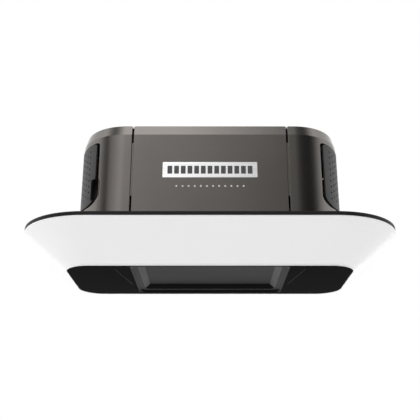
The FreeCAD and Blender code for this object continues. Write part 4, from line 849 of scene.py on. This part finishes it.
def lining_material(cover):
    """Textured finishes on the ceiling and side slopes of the recess, the side slopes in a lighter grey that
    paints the light falling on them; its back wall stays glossy.
    """
    for key in ("recess_lining", "recess_side_painted_light", "recess_ledge"):
        cover.data.materials.append(MATERIALS[key])
    for face in cover.data.polygons:
        centre = face.center
        inside = abs(centre.x) < LINING_X and abs(centre.y - RECESS_MID) < LINING_Y and centre.z <= LINING_Z
        if not inside or face.normal.z > FACES_DOWN or face.normal.y < FACES_FRONT:
            continue
        ledge = abs(centre.x) > LEDGE_X or centre.z < LEDGE_Z
        # faces turned sideways get the lighter grey that paints the light falling on the side slopes
        face.material_index = 3 if ledge else 2 if abs(face.normal.x) > FACES_SIDE else 1


CREASE_FRONT = (120.8, -60.0)
CREASE_BACK = (105.6, 18.8)
CREASE_HALF = 0.22
CREASE_LOW, CREASE_HIGH = 0.02 * MM, 0.6 * MM


def build_creases():
    """Thin moulded ridge on each side of the recess, running in towards the back, in a lighter grey than the
    plate as a painted highlight along it.
    """
    strips = []
    for side in (-1, 1):
        start = Vector((side * CREASE_FRONT[0], CREASE_FRONT[1]))
        end = Vector((side * CREASE_BACK[0], CREASE_BACK[1]))
        across = Vector((end.y - start.y, start.x - end.x)).normalized() * CREASE_HALF
        loop = [start + across, start - across, end - across, end + across]
        if side > 0:
            loop.reverse()
        strips.append(prism([(p.x * MM, p.y * MM) for p in loop], CREASE_LOW, CREASE_HIGH))
    piece("underside_creases", *joined(strips), "crease_line", slot="gloss_black")


# ---------------------------------------------------------------- badge and printed marks
PLATE_ROUND = 0.8
SLAT_COUNT = 13
SLAT_WIDTH, SLAT_GAP, SLAT_HEIGHT = 6.2, 2.4, 11.0
SLAT_ROUND = 0.5
SLAT_RAISED, SLAT_DEPTH = 0.12, 0.4
DOT_COUNT = 12
DOT_PITCH, DOT_Z, DOT_RADIUS = 7.8, 102.0, 1.25
DOT_RAISED, DOT_DEPTH = 0.08, 0.3


def build_badge():
    """Plain silver plate with a row of equal slats, like a sectional door seen from the front."""
    face = -BODY_Y / MM
    low = BADGE_LOW / MM
    high = BADGE_HIGH / MM
    outer = corner_loop((low.x, low.z), (high.x, high.z), (PLATE_ROUND,) * 4, 4)

    def place(u, z, depth):
        return Vector((u, low.y + depth, z)) * MM

    def raised(u, z, depth):
        return Vector((u, low.y - SLAT_RAISED + depth, z)) * MM

    plate = piece("badge_face", *sheet([outer], place, face - low.y, rim=0.3), "badge_silver")
    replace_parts(plate, "badge_plate")
    slats = []
    middle = (low.z + high.z) / 2
    for k in range(SLAT_COUNT):
        x = (k - (SLAT_COUNT - 1) / 2) * (SLAT_WIDTH + SLAT_GAP)
        loop = corner_loop((x - SLAT_WIDTH / 2, middle - SLAT_HEIGHT / 2),
                           (x + SLAT_WIDTH / 2, middle + SLAT_HEIGHT / 2), (SLAT_ROUND,) * 4, 3)
        slats.append(sheet([loop], raised, SLAT_DEPTH, rim=0.05))
    piece("badge_slats", *joined(slats), "badge_ink", slot="badge_silver")


def build_marks():
    """Row of small printed dots under the badge."""
    face = -BODY_Y / MM

    def place(u, z, depth):
        return Vector((u, face - DOT_RAISED + depth, z)) * MM

    dots = []
    for k in range(DOT_COUNT):
        x = (k - (DOT_COUNT - 1) / 2) * DOT_PITCH
        dots.append(sheet([round_loop(x, DOT_Z, DOT_RADIUS, 16)], place, DOT_DEPTH))
    piece("printed_dots", *joined(dots), "print_white", slot="warm_grey")


build_covers()
build_skins()
build_lens()
build_pan()
build_underside()
build_creases()
build_badge()
build_marks()


# ---------------------------------------------------------------- stage, light and camera
def area_light(name, place, target, size, power, size_y=None):
    """Soft rectangular light that the camera does not see."""
    data = bpy.data.lights.new(name, "AREA")
    data.energy = power
    data.shape = "RECTANGLE"
    data.size = size
    data.size_y = size_y or size
    obj = bpy.data.objects.new(name, data)
    obj.location = place
    obj.rotation_mode = "QUATERNION"
    obj.rotation_quaternion = (Vector(target) - Vector(place)).to_track_quat("-Z", "Y")
    obj.visible_camera = False
    bpy.context.scene.collection.objects.link(obj)


FLOOR_HALF = 6.0
FLOOR_Z = -1.6


def build_stage():
    """Pale floor well below the hanging unit."""
    mesh = bpy.data.meshes.new("floor")
    corners = [(-1, -1), (1, -1), (1, 1), (-1, 1)]
    mesh.from_pydata([(x * FLOOR_HALF, y * FLOOR_HALF, FLOOR_Z) for x, y in corners], [], [(0, 1, 2, 3)])
    floor = bpy.data.objects.new("floor", mesh)
    bpy.context.scene.collection.objects.link(floor)
    mesh.materials.append(shader("pale_floor", (0.86, 0.86, 0.86), 0.7)[0])


# brightness of the studio by direction: degrees round from the front, left negative
STUDIO_ROUND = ((-180, 1.00), (-125, 1.20), (-92, 1.50), (-78, 1.50), (-68, 0.75), (-58, 0.22),
                (-44, 0.12), (-30, 0.50), (-20, 0.85), (-8, 1.20), (0, 0.90), (8, 0.36), (20, 0.11),
                (44, 0.05), (56, 0.16), (68, 0.90), (80, 1.50), (96, 1.50), (125, 1.20), (180, 1.00))
ROUND_PEAK = 1.5
# and by height: sine of the elevation
STUDIO_HEIGHT = ((-1.0, 1.0), (-0.1, 0.80), (0.25, 0.80), (0.46, 1.10), (0.70, 2.6), (0.92, 2.9),
                 (1.0, 1.2))
HEIGHT_PEAK = 2.9


def ramp_node(tree, value, stops, low, high, peak):
    """Grey ramp through the stops; positions run from low to high."""
    node = tree.nodes.new("ShaderNodeValToRGB")
    elements = node.color_ramp.elements
    while len(elements) < len(stops):
        elements.new(0.5)
    for element, (place, level) in zip(elements, stops):
        element.position = (place - low) / (high - low)
        element.color = (level / peak, level / peak, level / peak, 1)
    tree.links.new(value, node.inputs["Fac"])
    return node.outputs["Color"]


def math_node(tree, operation, *values):
    """One Math node; each value is a number or a socket to link."""
    node = tree.nodes.new("ShaderNodeMath")
    node.operation = operation
    for socket, value in zip(node.inputs, values):
        if isinstance(value, (int, float)):
            socket.default_value = value
        else:
            tree.links.new(value, socket)
    return node.outputs["Value"]


def build_world():
    """The camera sees a white surround; the light is a studio with darker stretches at the front."""
    world = bpy.data.worlds.new("studio")
    world.use_nodes = True
    tree = world.node_tree
    back = tree.nodes["Background"]
    aim = tree.nodes.new("ShaderNodeTexCoord").outputs["Generated"]
    split = tree.nodes.new("ShaderNodeSeparateXYZ")
    tree.links.new(aim, split.inputs["Vector"])
    forward = math_node(tree, "MULTIPLY", split.outputs["Y"], -1.0)
    turn = math_node(tree, "ARCTAN2", split.outputs["X"], forward)
    share = math_node(tree, "MULTIPLY_ADD", turn, 0.5 / math.pi, 0.5)
    around = ramp_node(tree, share, STUDIO_ROUND, -180, 180, ROUND_PEAK)
    rise = math_node(tree, "MULTIPLY_ADD", split.outputs["Z"], 0.5, 0.5)
    height = ramp_node(tree, rise, STUDIO_HEIGHT, -1.0, 1.0, HEIGHT_PEAK)
    ahead = math_node(tree, "MAXIMUM", math_node(tree, "COSINE", turn), 0.0)
    extra = math_node(tree, "MULTIPLY_ADD", height, HEIGHT_PEAK, -1.0)
    lifted = math_node(tree, "MULTIPLY_ADD", extra, ahead, 1.0)
    level = math_node(tree, "MULTIPLY", around, math_node(tree, "MULTIPLY", lifted, ROUND_PEAK))
    seen = tree.nodes.new("ShaderNodeLightPath").outputs["Is Camera Ray"]
    strength = tree.nodes.new("ShaderNodeMix")
    tree.links.new(seen, strength.inputs["Factor"])
    tree.links.new(level, strength.inputs["A"])
    strength.inputs["B"].default_value = 1.0
    tree.links.new(strength.outputs["Result"], back.inputs["Strength"])
    back.inputs["Color"].default_value = (1.0, 1.0, 1.0, 1.0)
    bpy.context.scene.world = world


# focal length in mm, place in metres and degrees of upward tilt
CAMERA_LENS = 60.84
CAMERA_PLACE = (0.0, -0.9279, -0.2380)
CAMERA_TILT = 20.09


def build_camera():
    """Camera below and in front of the unit, looking up at it."""
    data = bpy.data.cameras.new("camera")
    data.lens = CAMERA_LENS
    data.sensor_width = 36.0
    data.clip_end = 60.0
    cam = bpy.data.objects.new("camera", data)
    cam.location = CAMERA_PLACE
    cam.rotation_euler = (math.radians(90.0 + CAMERA_TILT), 0.0, 0.0)
    bpy.context.scene.collection.objects.link(cam)
    bpy.context.scene.camera = cam


build_stage()
build_world()
build_camera()
area_light("front_left_softbox", (-0.52, -0.80, 0.42), (-0.05, 0.0, 0.12), 0.55, 0.6, size_y=0.5)
area_light("low_left_softbox", (-1.10, -0.70, -0.70), (-0.20, -0.10, 0.02), 0.8, 1.7)

bpy.context.scene.view_settings.view_transform = "Standard"
